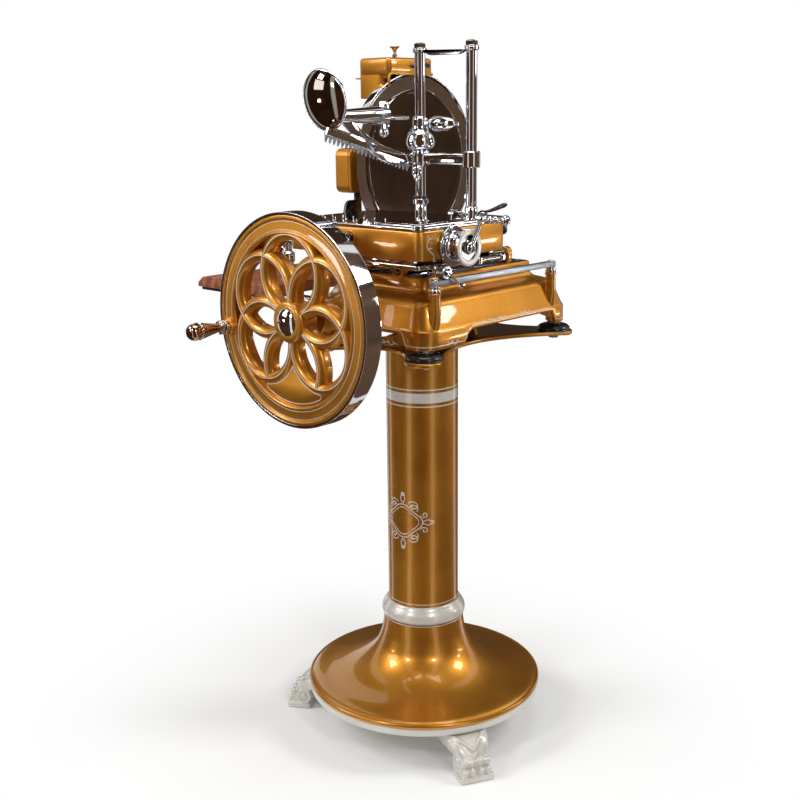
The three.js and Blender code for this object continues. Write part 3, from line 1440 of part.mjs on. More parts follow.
function feedDrumShape() {
  const t = feedFlangeThickness;
  const total = feedDrumTotal;
  const bezel = feedDiscRadius * 0.66;
  const body = turned([
    [0, t + seatGap], [feedScrewRadius + seatGap, t + seatGap], [feedScrewRadius + seatGap, 0],
    [feedFlangeRadius, 0], [feedFlangeRadius, t], [feedDrumRadius, t],
    [feedDrumRadius * 0.9, t + feedDrumLength / 2],
    [feedDrumRadius, t + feedDrumLength], [feedDiscRadius, t + feedDrumLength], [feedDiscRadius, total],
    [bezel, total], [bezel - feedBezelDraft, total - feedBezelDepth], [0, total - feedBezelDepth],
  ], middleSides);
  const knuckle = at(ball(feedDrumRadius * 0.42, smallSides), 0, 0, total);
  const sweep = Math.atan2(feedArmSweep, feedArmRise);
  const armLength = Math.hypot(feedArmSweep, feedArmRise);
  const arm = post(feedArmThick, armLength, tinySides, feedArmThick * 0.8).rotateX(-sweep);
  const eye = alongX(post(feedArmThick * 1.5, 2 * feedArmThick, smallSides));
  const eyeBore = alongX(post(feedStudRadius, 3 * feedArmThick, tinySides));
  const crankX = tableRight + seatGap + total + feedArmThick * 0.6;
  const crank = cut(join(
    at(arm, crankX, feedY, feedZ),
    at(eye, crankX - feedArmThick, feedY + feedArmSweep, feedZ + feedArmRise)),
    at(eyeBore, crankX - feedArmThick * 1.5, feedY + feedArmSweep, feedZ + feedArmRise));
  const stud = at(alongX(post(feedStudRadius, feedGripLength + feedArmThick, tinySides)),
    crankX - feedArmThick * 0.6, feedY + feedArmSweep, feedZ + feedArmRise);
  const bodyPlaced = feedAxis(join(body, knuckle), tableRight + seatGap);
  return join(bodyPlaced, crank, stud);
}

const feedDrumTotal = feedFlangeThickness + feedDrumLength + feedDiscThickness;
const feedGripX = tableRight + 2 * seatGap + feedDrumTotal + feedArmThick * 1.6;

// Turned grip of the feed crank: three rings and a ball end
function feedGripShape() {
  const r = feedStudRadius * 1.9;
  const length = feedGripLength;
  const profileShares = [
    [0, 0.8], [0.04, 1.05], [0.1, 1.05], [0.14, 0.8], [0.28, 1.1], [0.36, 0.85], [0.5, 1.15], [0.6, 0.85],
    [0.7, 0.9], [0.78, 1.35], [0.9, 1.6], [1, 1.2],
  ];
  const bore = runningBore(feedStudRadius);
  const outer = profileShares.map(([along, share]) => [share * r, along * length]);
  return at(alongX(ring([[bore, 0], ...outer, [bore, length]], smallSides)), feedGripX,
    feedY + feedArmSweep, feedZ + feedArmRise);
}

const releaseX = carriageRight + seatGap + releaseRadius;
const releaseY = carriageBack - carriageSlideLength * 1.3;
const releaseZ = carriagePlateBottom + carriagePlateThickness / 2;

// A short lever with a hexagonal knob lies along the right edge of the carriage
function releaseLeverShape() {
  const r = releaseRadius;
  const hub = at(post(r, 1.6 * r, smallSides), 0, 0, -0.8 * r);
  const arm = alongY(post(r * 0.62, 8 * r, tinySides, r * 0.4));
  const knob = at(alongY(slab(hexagon(r * 0.95), 1.6 * r)), 0, 8 * r, 0);
  return at(join(hub, arm, knob), releaseX, releaseY, releaseZ);
}

// Press posts and their bridge

function pressPostShape(x) {
  const foot = tableTop + seatGap;
  const rod = at(post(postRadius, postTop - foot, smallSides), x, 0, foot);
  const neck = at(post(postNeckRadius, 2 * postCollarHeight + plateTop - foot, smallSides), x, 0, foot);
  const collar = at(post(postRadius * 1.5, postCollarHeight, smallSides), x, 0,
    plateTop + 2 * postCollarHeight);
  return x === postLeftX ? join(rod, neck, collar) : join(rod, neck);
}

// A shallow V strap ties the posts together under two cap nuts
function bridgeShape() {
  const thickness = postRadius * 0.6;
  const dip = thickness;
  const flat = postRadius * 1.3;
  const [left, right] = postXs;
  const middle = (left + right) / 2;
  const z = postTop + seatGap;
  const outline = new THREE.Shape([
    new THREE.Vector2(left, z), new THREE.Vector2(left + flat, z), new THREE.Vector2(middle, z - dip),
    new THREE.Vector2(right - flat, z), new THREE.Vector2(right, z),
    new THREE.Vector2(right, z + thickness), new THREE.Vector2(right - flat, z + thickness),
    new THREE.Vector2(middle, z + thickness - dip), new THREE.Vector2(left + flat, z + thickness),
    new THREE.Vector2(left, z + thickness),
  ]);
  const strap = at(frontSlab(outline, postRadius), 0, -postRadius / 2, 0);
  const caps = postXs.map((x) => at(turned([
    [0, 0], [postRadius * 1.25, 0], [postRadius * 1.25, thickness * 1.6],
    [postRadius * 0.9, thickness * 2.2], [0, thickness * 2.6],
  ], smallSides), x, 0, z));
  return join(strap, ...caps);
}

// Press head: a strap with sliding hubs, a bulb boss and the comb bearer

const hubLength = yokeHeight * 1.2;
const bearerX = combX + bearerShift;
const combPivotZ = yokeZ - combHeight * 0.8;
const clampZ = yokeZ + yokeHubRadius * 3.9;

function tiltedInPlane(shape, y, z) {
  return at(shape.clone().rotateX(radians(-combSlope)), 0, y, z);
}

function yokeShape() {
  const [left, right] = postXs;
  const r = yokeHubRadius;
  const strap = block(left, right, -r * 0.5, r * 0.5, yokeZ - yokeHeight * 0.42, yokeZ + yokeHeight * 0.42);
  const hubs = postXs.map((x) => at(post(r, hubLength, smallSides), x, 0, yokeZ - hubLength / 2));
  const bulb = at(turned([
    [0, 0], [r * 1.1, 0], [r * 1.55, r * 0.7], [r * 1.75, r * 1.6], [r * 1.5, r * 2.7], [r * 0.95, r * 3.4],
    [r * 0.95, r * 4.4], [r * 0.7, r * 4.7], [0, r * 4.7],
  ], smallSides), left, 0, yokeZ);
  const tongue = block(bearerX - bearerWidth / 2, left, -r * 1.1, r * 0.4, yokeZ - hubLength / 2,
    yokeZ + yokeHeight * 0.4);
  const bearer = tiltedInPlane(block(bearerX - bearerWidth / 2, bearerX + bearerWidth / 2,
    -combLength, r, -bearerDrop, combHeight),
    -r, combPivotZ);
  const wing = new THREE.Shape();
  wing.moveTo(0, 0);
  wing.quadraticCurveTo(-combLength * 0.4, yokeHeight * 0.2, -combLength * 0.82, combLength * 0.36);
  wing.lineTo(-combLength * 0.86, combLength * 0.3);
  wing.quadraticCurveTo(-combLength * 0.5, -yokeHeight * 0.1, -combLength * 0.3, -yokeHeight * 0.6);
  wing.lineTo(0, -yokeHeight * 0.6);
  const rib = at(sideSlab(wing, pressRibThickness, 7), bearerX - bearerWidth / 4, -r * 0.5,
    yokeZ + yokeHeight * 0.3);
  const tail = at(turned([
    [0, 0], [r * 0.2, r * 0.1], [r * 0.62, r], [r * 0.5, r * 1.9], [r * 0.3, r * 2.3], [0, r * 2.3],
  ], tinySides), left + r * 0.4, -r * 1.1, yokeZ - r * 2.7);
  const bores = postXs.map((x) => at(post(postRadius + runningGap, postTop, smallSides), x, 0, tableTop));
  return cut(join(strap, ...hubs, bulb, tongue, bearer, rib, tail), ...bores, ...armForms(seatGap));
}

// The toothed plate hangs under its bearer and can swing about its rear end
function combShape() {
  const pitch = combLength / combToothCount;
  const points = [new THREE.Vector2(0, combHeight)];
  points.push(new THREE.Vector2(0, 0));
  for (let i = 0; i < combToothCount; i += 1) {
    const start = -i * pitch;
    points.push(new THREE.Vector2(start - pitch * 0.3, 0));
    points.push(new THREE.Vector2(start - pitch * 0.65, -combToothDepth));
    points.push(new THREE.Vector2(start - pitch, 0));
  }
  points.push(new THREE.Vector2(-combLength, combHeight));
  const plate = sideSlab(new THREE.Shape(points.reverse()), combThickness);
  const back = block(0, bearerWidth, -combLength, -bearerDrop, combHeight * 0.1, combHeight * 0.9);
  const placed = at(join(plate, back), bearerX - 1.5 * bearerWidth - 2 * seatGap, 0, -combHeight * 0.6);
  return tiltedInPlane(placed, -yokeHubRadius, combPivotZ);
}

// Guard arm: a cone-shaped arm along the operator's side, carried by a rod

const armX = combX + armShift;

// The arm's cone and ball, grown by a clearance where the yoke makes room for them
function armForms(grow) {
  const r = yokeHubRadius;
  const length = armPlateY - knuckleY;
  return [
    at(alongY(post(r * 0.62 + grow, length, smallSides, r * 1.05 + grow)), armX, knuckleY,
      knuckleZ - r * 0.5),
    at(ball(r * 1.15 + 2 * grow, smallSides), armX, knuckleY, knuckleZ),
  ];
}

function guardArmShape() {
  const r = yokeHubRadius;
  const plate = at(frontSlab(roundedRectangle(-armPlateWidth / 2, armPlateWidth / 2, -armPlateHeight / 2,
    armPlateHeight / 2, armPlateCorner), armPlateThickness), armX, armPlateY - armPlateThickness * 0.7,
    knuckleZ - r * 0.5);
  const rod = at(alongY(post(r * 0.25, -armPlateY, tinySides)), armX, armPlateY, guardArmZ);
  const boss = at(post(r * 1.2 + seatGap, 4 * r, smallSides), postLeftX, 0, guardArmZ - 2 * r);
  const screw = at(post(r * 0.35, r * 1.2, tinySides), armX, armPlateY - armScrewInset, knuckleZ - r * 2.5);
  const screwHead = at(ball(r * 0.55, tinySides), armX, armPlateY - armScrewInset, knuckleZ - r * 2.4);
  const topScrew = at(turned([
    [0, 0], [r * 0.5, 0], [r * 0.4, r], [r * 0.62, r * 1.4], [r * 0.62, r * 2], [0, r * 2.5],
  ], tinySides), armX, knuckleY + r * 0.3, knuckleZ + r * 0.7);
  return join(...armForms(0), plate, cut(rod, boss), screw, screwHead, topScrew);
}

// Hand guard: a polished dish on a short neck that turns in the knuckle
function handGuardShape() {
  const r = dishRadius;
  const d = dishDepth;
  const w = dishWall;
  const dish = turned([
    [0, 0], [r * 0.35, d * 0.1], [r * 0.7, d * 0.42], [r * 0.97, d], [r, d + w / 2], [r * 0.95, d + w],
    [r * 0.69, d * 0.42 + w * 1.2], [r * 0.34, d * 0.1 + w * 1.1], [0, w],
  ], middleSides);
  const neck = at(post(yokeHubRadius * 0.5, yokeHubRadius * 1.95, tinySides), 0, 0, -yokeHubRadius * 1.9);
  const placed = join(dish, neck).rotateX(quarterTurn).rotateX(radians(dishTilt));
  const gap = yokeHubRadius * 2.75;
  const seat = at(ball(yokeHubRadius * 1.15 + 2 * seatGap, smallSides), armX, knuckleY, knuckleZ);
  return cut(at(placed, armX, knuckleY - gap, knuckleZ + gap * 0.36), seat);
}

// Egg-shaped clamp lever on the right of the bulb, turning about its own axis
function clampLeverShape() {
  const r = yokeHubRadius;
  const egg = at(ball(r * 1.05, smallSides).scale(1.9, 0.8, 0.85), r * 2.4, 0, 0);
  const tip = at(alongX(post(r * 0.3, r * 0.8, tinySides, r * 0.15)), r * 4, 0, 0);
  const root = alongX(post(r * 0.4, r * 2, tinySides));
  return at(join(egg, tip, root), postLeftX + r * 0.95 + seatGap, 0, clampZ);
}

// Assembly

const frame = assembly(
  ...clawFeet,
  piece('foot_plate', footPlateShape(), pearlPaint),
  piece('pedestal_bell', bellShape(), goldPaint),
  piece('column_tube', columnShape(), goldPaint),
  piece('tie_rod', tieRodShape(), steel),
  piece('stand_top_plate', standPlateShape(), blackPlastic),
  ...levellingFeet,
  piece('base_casting', baseShape(), goldPaint),
  piece('outer_rail', outerRailShape(), chrome),
  piece('guide_rod_left', guideRodShape(guideRodXs[0]), chrome),
  piece('guide_rod_right', guideRodShape(guideRodXs[1]), chrome),
  piece('front_bearing', mainBearingShape(baseFront - snoutLength + baseWall / 2), bronze),
  piece('rear_bearing', mainBearingShape(bearingWebY - bushLength / 2), bronze),
  piece('cross_bearing', crossBearingShape(), bronze),
  piece('blade_bearing', bladeBearingShape(), bronze),
  piece('chain_case', chainCaseShape(), goldPaint),
  piece('chain_cover', chainCoverShape(), goldPaint),
  piece('blade_guard', guardShape(), chrome),
  piece('sharpener_cover', sharpenerShape(), goldPaint),
  piece('receiving_board', boardShape(), redWood),
  piece('board_carrier', boardCarrierShape(), steel),
  piece('slice_post', slicePostShape(), chrome),
  piece('slice_deflector', deflectorShape(), blackPlastic),
  piece('drive_chain', chainShapes(), steel),
);
const flywheel = assembly(
  piece('flywheel', flywheelShape(), goldPaint),
  piece('flywheel_band', wheelBandShape(), chrome),
  piece('main_shaft', mainShaftShape(), steel),
  piece('crown_gear', crownGearShape(), castIron),
);
const flywheelGrip = assembly(piece('flywheel_grip', gripShape(), bronzedChrome));
const crossDrive = assembly(
  piece('cross_shaft', crossShaftShape(), steel),
  piece('bevel_pinion', bevelPinionShape(), castIron),
  piece('drive_sprocket', at(sprocket(driveSprocketTeeth, crossShaftRadius), sprocketLeft, bladeY, wheelZ),
    castIron),
);
const bladeDrive = assembly(
  piece('blade', bladeShape(), chrome),
  piece('blade_cover', bladeCoverShape(), chrome),
  piece('blade_shaft', bladeShaftShape(), steel),
);
const carriage = assembly(
  piece('carriage_plate', carriagePlateShape(), chrome),
  piece('carriage_bracket', carriageBracketShape(), chrome),
  piece('rail_roller', rollerShape(), steel),
  piece('release_lever', releaseLeverShape(), chrome),
);
const table = assembly(
  piece('table_casting', tableCastingShape(), goldPaint),
  piece('table_plate', tablePlateShape(), chrome),
  piece('press_post_left', pressPostShape(postXs[0]), chrome),
  piece('press_post_right', pressPostShape(postXs[1]), chrome),
  piece('post_bridge', bridgeShape(), chrome),
  piece('fence_lever', fenceLeverShape(), blackPlastic),
  piece('feed_screw', feedScrewShape(), steel),
  piece('feed_crank', feedDrumShape(), chrome),
  piece('feed_grip', feedGripShape(), chrome),
);
const press = assembly(
  piece('press_yoke', yokeShape(), chrome),
  piece('guard_arm', guardArmShape(), chrome),
  piece('press_comb', combShape(), chrome),
  piece('hand_guard', handGuardShape(), chrome),
  piece('clamp_lever', clampLeverShape(), chrome),
);
const plunger = assembly(
  piece('sharpening_stone', stoneShape(), stoneGrey),
  piece('sharpener_knob', sharpenerKnobShape(), bronzedChrome),
);

const slicer = assembly(frame, flywheel, flywheelGrip, crossDrive, bladeDrive, carriage, table, press,
  plunger);
slicer.name = 'meat_slicer';

// The origin is the middle of the footprint, on the floor
const extent = new THREE.Box3().setFromObject(slicer, true);
const middle = extent.getCenter(new THREE.Vector3());
slicer.position.set(-middle.x, -middle.y, -extent.min.z);
slicer.updateMatrixWorld(true);

export default slicer;
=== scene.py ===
"""Hand-cranked flywheel meat slicer on its cast pedestal: looks, light and camera.

Every size is in millimetres in the maker's own axes, whose origin is the floor point
under the column: +X is the operator's right, +Y points away from the operator, +Z is up.
``Workshop.build`` moves the points into the shared frame and turns them into metres.
"""

import math
from dataclasses import dataclass
from enum import Enum
from typing import Optional, Sequence

import bpy
import numpy as np
from bpy.types import Material, Node, NodeSocket, Object
from mathutils import Matrix, Vector


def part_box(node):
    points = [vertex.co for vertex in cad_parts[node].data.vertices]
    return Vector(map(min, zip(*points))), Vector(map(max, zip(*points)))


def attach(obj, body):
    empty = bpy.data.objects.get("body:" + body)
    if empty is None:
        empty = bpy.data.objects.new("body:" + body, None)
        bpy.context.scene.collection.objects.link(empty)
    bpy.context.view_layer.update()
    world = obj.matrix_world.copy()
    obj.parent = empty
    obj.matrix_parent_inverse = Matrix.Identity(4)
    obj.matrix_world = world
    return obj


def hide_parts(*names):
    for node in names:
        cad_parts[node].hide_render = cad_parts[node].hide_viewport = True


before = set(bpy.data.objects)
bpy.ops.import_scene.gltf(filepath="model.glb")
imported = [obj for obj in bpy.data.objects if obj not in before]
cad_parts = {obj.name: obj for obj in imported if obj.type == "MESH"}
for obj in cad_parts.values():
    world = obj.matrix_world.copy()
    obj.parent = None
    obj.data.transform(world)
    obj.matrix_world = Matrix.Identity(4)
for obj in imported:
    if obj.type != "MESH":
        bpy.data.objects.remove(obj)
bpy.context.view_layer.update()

TURN = 2.0 * math.pi
MM = 0.001
WHITE = (1.0, 1.0, 1.0, 1.0)
# a solid turned profile meets its axis at this radius
AXIS = 0.02
# the usual gap between two pieces
GAP = 0.3


# Forms: arrays of points and faces


@dataclass
class Form:
    """A closed or open surface: points in millimetres, faces, and a finish number per face."""

    points: np.ndarray
    faces: list
    finish: Optional[np.ndarray] = None

    def __post_init__(self) -> None:
        """Gives every face the first finish unless told otherwise."""
        if self.finish is None:
            self.finish = np.zeros(len(self.faces), int)

    def moved(self, x: float = 0.0, y: float = 0.0, z: float = 0.0) -> "Form":
        """The same form, shifted."""
        return Form(self.points + np.array([x, y, z], float), self.faces, self.finish)

    def scaled(self, x: float, y: float, z: float) -> "Form":
        """The same form, stretched about the origin by positive factors."""
        return Form(self.points * np.array([x, y, z], float), self.faces, self.finish)

    def laid(self, axis: str) -> "Form":
        """The same form with its own +Z turned to the given axis by a cyclic swap."""
        order = {"X": [2, 0, 1], "Y": [1, 2, 0], "Z": [0, 1, 2]}[axis]
        return Form(self.points[:, order], self.faces, self.finish)

    def turned(self, axis: str, degrees: float) -> "Form":
        """The same form, turned about an axis through the origin by the right-hand rule."""
        matrix = np.array(Matrix.Rotation(math.radians(degrees), 3, axis))
        return Form(self.points @ matrix.T, self.faces, self.finish)

    def finished(self, number: int) -> "Form":
        """The same form with one finish number on all its faces."""
        return Form(self.points, self.faces, np.full(len(self.faces), number))


def joined(*forms: Form) -> Form:
    """One form that holds several, each set of faces renumbered."""
    starts = np.cumsum([0] + [len(f.points) for f in forms])
    faces = [tuple(i + int(s) for i in face) for f, s in zip(forms, starts) for face in f.faces]
    return Form(np.vstack([f.points for f in forms]), faces, np.concatenate([f.finish for f in forms]))


def grid_faces(rows: int, columns: int, wrap_rows: bool = False, wrap_columns: bool = True) -> list:
    """Quads of a rows x columns grid of points; wrapping joins the last row or column to the first."""
    i = np.arange(rows if wrap_rows else rows - 1)[:, None]
    j = np.arange(columns if wrap_columns else columns - 1)[None, :]
    a, d = i * columns + j, ((i + 1) % rows) * columns + j
    b, c = i * columns + (j + 1) % columns, ((i + 1) % rows) * columns + (j + 1) % columns
    return [tuple(q) for q in np.stack([a, b, c, d], -1).reshape(-1, 4).tolist()]


def loft(rings: np.ndarray, capped: bool = True, closed: bool = False) -> Form:
    """A skin over rings of points (rings, points, 3), each anticlockwise seen from the next ones.

    It is capped at both ends, or closed: the last ring joins the first.
    """
    count, around = rings.shape[:2]
    faces = grid_faces(count, around, wrap_rows=closed)
    if capped and not closed:
        faces.append(tuple(range(around - 1, -1, -1)))
        faces.append(tuple(range((count - 1) * around, count * around)))
    return Form(rings.reshape(-1, 3), faces)


def revolve(profile: Sequence, sides: int = 96, hollow: bool = False, start: float = 0.0,
            end: float = TURN) -> Form:
    """A profile of (radius, height) pairs turned about +Z: (r cos t, r sin t, h).

    A hollow profile closes on itself, as for a ring; a solid one has its ends on the axis or capped.
    Start and end are the angles of a part ring.
    """
    p = np.array(profile, float)
    whole = abs(end - start - TURN) < 1e-9
    t = np.linspace(start, end, sides, endpoint=not whole)
    rings = np.stack([np.outer(p[:, 0], np.cos(t)), np.outer(p[:, 0], np.sin(t)),
                      np.repeat(p[:, 1:2], sides, 1)], -1)
    if whole:
        return loft(rings, capped=not hollow, closed=hollow)
    faces = grid_faces(len(p), sides, wrap_rows=hollow, wrap_columns=False)
    faces.append(tuple(i * sides for i in range(len(p))))
    faces.append(tuple(i * sides + sides - 1 for i in range(len(p) - 1, -1, -1)))
    return Form(rings.reshape(-1, 3), faces)


def circle(radius: float, sides: int = 24, flat: float = 1.0) -> np.ndarray:
    """Points of a circle, anticlockwise, its second coordinate stretched by ``flat``."""
    t = np.linspace(0, TURN, sides, endpoint=False)
    return np.stack([radius * np.cos(t), radius * flat * np.sin(t)], -1)


def torus(radius: float, height: float, wire: float, sides: int = 64, around: int = 12,
          flat: float = 1.0) -> Form:
    """A ring of round wire about +Z."""
    return revolve(circle(wire, around, flat) + (radius, height), sides, hollow=True)


def arc(radius: float, start: float, end: float, count: int) -> np.ndarray:
    """Points along a circle about the origin between two angles in degrees."""
    t = np.linspace(math.radians(start), math.radians(end), count)
    return np.stack([radius * np.cos(t), radius * np.sin(t)], -1)


def polar(radius: float, degrees: float) -> tuple:
    """The flat place at a radius and an angle."""
    a = math.radians(degrees)
    return radius * math.cos(a), radius * math.sin(a)


def bend(a: Sequence, pull: Sequence, b: Sequence, count: int) -> np.ndarray:
    """The quadratic curve from a to b that a third point pulls."""
    t = np.linspace(0, 1, count)[:, None]
    a, pull, b = (np.array(v, float) for v in (a, pull, b))
    return (1 - t) ** 2 * a + 2 * t * (1 - t) * pull + t ** 2 * b


def spread(count: int, shares: Sequence, values: Sequence) -> np.ndarray:
    """Values that hold at shares of a path, filled in for each of its points."""
    return np.interp(np.linspace(0, 1, count), shares, values)


def at_height(outline: np.ndarray, z) -> np.ndarray:
    """A flat outline lifted to one height, or each of its points to its own."""
    return np.column_stack([outline, np.broadcast_to(z, len(outline))])


def fillet(outline: Sequence, radius, steps: int = 5, closed: bool = True) -> np.ndarray:
    """Rounds the corners of a polygon, each with a quadratic curve between its two tangent points.

    There is one radius, or one per corner; it is cut back where a side is short.
    """
    p = np.array(outline, float)
    radii = np.broadcast_to(np.asarray(radius, float), (len(p),))
    result = []
    for i, corner in enumerate(p):
        if radii[i] <= 0 or (not closed and i in (0, len(p) - 1)):
            result.append(corner[None])
            continue
        before, after = p[i - 1] - corner, p[(i + 1) % len(p)] - corner
        lengths = np.linalg.norm(before), np.linalg.norm(after)
        reach = min(radii[i], 0.49 * lengths[0], 0.49 * lengths[1])
        a, b = corner + before / lengths[0] * reach, corner + after / lengths[1] * reach
        result.append(bend(a, corner, b, steps))
    return np.vstack(result)


def round_rect(x0: float, x1: float, y0: float, y1: float, radius: float, steps: int = 10) -> np.ndarray:
    """A rectangle with round corners, anticlockwise: each corner is a quarter circle."""
    r = min(radius, (x1 - x0) / 2, (y1 - y0) / 2)
    corners = [(x1 - r, y1 - r), (x0 + r, y1 - r), (x0 + r, y0 + r), (x1 - r, y0 + r)]
    return np.vstack([arc(r, 90 * q, 90 * q + 90, steps) + corner for q, corner in enumerate(corners)])


def unit(vectors: np.ndarray) -> np.ndarray:
    """The same directions, each with length one."""
    return vectors / np.maximum(np.linalg.norm(vectors, axis=1), 1e-9)[:, None]


def inset(outline: np.ndarray, amount: float) -> np.ndarray:
    """Moves each point of an anticlockwise outline inwards along the mean normal of its two sides."""
    sides = outline - np.roll(outline, 1, 0), np.roll(outline, -1, 0) - outline
    before, after = (unit(side)[:, ::-1] * (-1, 1) for side in sides)
    n = unit(before + after)
    share = np.clip(np.sum(n * after, 1), 0.5, 1.0)
    return outline + n * (amount / share)[:, None]


def plate(outline: np.ndarray, low: float, high: float, edge: float = 0.8, steps: int = 3) -> Form:
    """A flat plate along +Z over an anticlockwise outline, drawn in by a quarter round at each face."""
    t = np.linspace(0, math.pi / 2, steps + 1)
    levels = [(edge * (1 - math.sin(a)), low + edge * (1 - math.cos(a))) for a in t]
    levels += [(edge * (1 - math.cos(a)), high - edge * (1 - math.sin(a))) for a in t]
    return loft(np.array([at_height(inset(outline, i) if i > 1e-9 else outline, z) for i, z in levels]))


def side_plate(outline: np.ndarray, low: float, high: float, edge: float = 0.8) -> Form:
    """A plate drawn in the YZ plane that grows along +X from low to high."""
    return plate(outline, low, high, edge).laid("X")


def front_plate(outline: np.ndarray, near: float, far: float, edge: float = 0.8) -> Form:
    """A plate drawn in the XZ plane, as the operator sees it, that grows away from near to far."""
    return plate(outline[::-1][:, ::-1], near, far, edge).laid("Y")


def box(x0: float, x1: float, y0: float, y1: float, z0: float, z1: float, edge: float = 1.2,
        corner: float = 2.0) -> Form:
    """A block with round upright corners and softened upper and lower edges."""
    return plate(round_rect(x0, x1, y0, y1, corner, 5), z0, z1, edge)


def rod(radius: float, length: float, edge: float = 0.6, sides: int = 48) -> Form:
    """A round bar along +Z from 0, its ends broken by a small chamfer."""
    inner = radius - edge
    return revolve([(inner, 0), (radius, edge), (radius, length - edge), (inner, length)], sides)


def tube(outer: float, inner: float, length: float, edge: float = 0.6, sides: int = 72) -> Form:
    """A round sleeve along +Z from 0 with chamfered outer edges."""
    return revolve([(inner, 0), (outer - edge, 0), (outer, edge), (outer, length - edge),
                    (outer - edge, length), (inner, length)], sides, hollow=True)


def ball(radius: float, sides: int = 48) -> Form:
    """A sphere: a half circle turned about +Z."""
    return revolve(np.maximum(arc(radius, -90, 90, sides // 2 + 1), (AXIS, -radius)), sides)


def nut(radius: float, height: float, edge: float = 1.0) -> Form:
    """A hexagonal nut along +Z from 0 with chamfered corners."""
    return plate(circle(radius, 6), 0, height, edge)


def smooth_path(points: Sequence, count: int = 60) -> np.ndarray:
    """A smooth curve through points: a Catmull-Rom spline, sampled evenly in its parameter."""
    p = np.array(points, float)
    pad = np.vstack([2 * p[0] - p[1], p, 2 * p[-1] - p[-2]])
    s = np.linspace(0, len(p) - 1, count)
    i = np.minimum(s.astype(int), len(p) - 2)
    t = (s - i)[:, None]
    a, b, c, d = pad[i], pad[i + 1], pad[i + 2], pad[i + 3]
    cubic = (2 * a - 5 * b + 4 * c - d) * t ** 2 + (3 * b - a - 3 * c + d) * t ** 3
    return 0.5 * (2 * b + (c - a) * t + cubic)


def sweep(path: np.ndarray, section: np.ndarray, scale=1.0, up: Sequence = (0.0, 0.0, 1.0)) -> Form:
    """A section carried along a path: path point + s x side + t x top for each (s, t) of the section.

    The side is the path's direction crossed with ``up``, the top is the side crossed with the direction.
    The scale is one number, one per path point, or a pair per path point.
    """
    direction = unit(np.gradient(path, axis=0))
    side = unit(np.cross(direction, up))
    top = np.cross(side, direction)
    factors = np.asarray(scale, float)
    factors = np.broadcast_to(factors[:, None] if factors.ndim == 1 else factors, (len(path), 2))
    s, t = section[None, :, 0] * factors[:, :1], section[None, :, 1] * factors[:, 1:]
    return loft(path[:, None] + s[..., None] * side[:, None] + t[..., None] * top[:, None])


def smooth_profile(pairs: Sequence, count: int = 60) -> list:
    """A turned profile with flowing curves: the spline through its pairs, kept off the axis."""
    return [(max(float(r), AXIS), float(h)) for r, h in smooth_path(pairs, count)]


# Finishes


def linear(hex_colour: str) -> tuple:
    """Turns an sRGB hex colour such as #c98c28 into the linear values that shaders use."""
    values = [int(hex_colour[i:i + 2], 16) / 255 for i in (1, 3, 5)]
    return tuple(v / 12.92 if v <= 0.04045 else ((v + 0.055) / 1.055) ** 2.4 for v in values) + (1.0,)


def add_node(owner, kind: str, links: Optional[dict] = None, **settings) -> Node:
    """Adds one shader node to a material or world: links and plain values by input, then settings."""
    node = owner.node_tree.nodes.new(kind)
    for name, value in settings.items():
        setattr(node, name, value)
    for name, value in (links or {}).items():
        if isinstance(value, NodeSocket):
            owner.node_tree.links.new(value, node.inputs[name])
        else:
            node.inputs[name].default_value = value
    return node


def principled(name: str, **values) -> tuple:
    """A new material and its principled node with some inputs set, underscores standing for spaces."""
    material = bpy.data.materials.new(name)
    material.use_nodes = True
    shader = material.node_tree.nodes["Principled BSDF"]
    for key, value in values.items():
        shader.inputs[key.replace("_", " ")].default_value = value
    return material, shader


def ramp(m: Material, value: NodeSocket, low: float, high: float, dark: str, light: str) -> NodeSocket:
    """A colour ramp from a dark stop at ``low`` to a light one at ``high``, driven by a value."""
    node = add_node(m, "ShaderNodeValToRGB", {"Fac": value})
    stops = node.color_ramp.elements
    stops[0].position, stops[0].color = low, linear(dark)
    stops[1].position, stops[1].color = high, linear(light)
    return node.outputs[0]


def multiplied(m: Material, share: float, base: NodeSocket, over: NodeSocket) -> NodeSocket:
    """A colour with a share of another multiplied over it."""
    mixed = add_node(m, "ShaderNodeMix", {0: share}, data_type="RGBA", blend_type="MULTIPLY")
    m.node_tree.links.new(base, mixed.inputs[6])
    m.node_tree.links.new(over, mixed.inputs[7])
    return mixed.outputs[2]


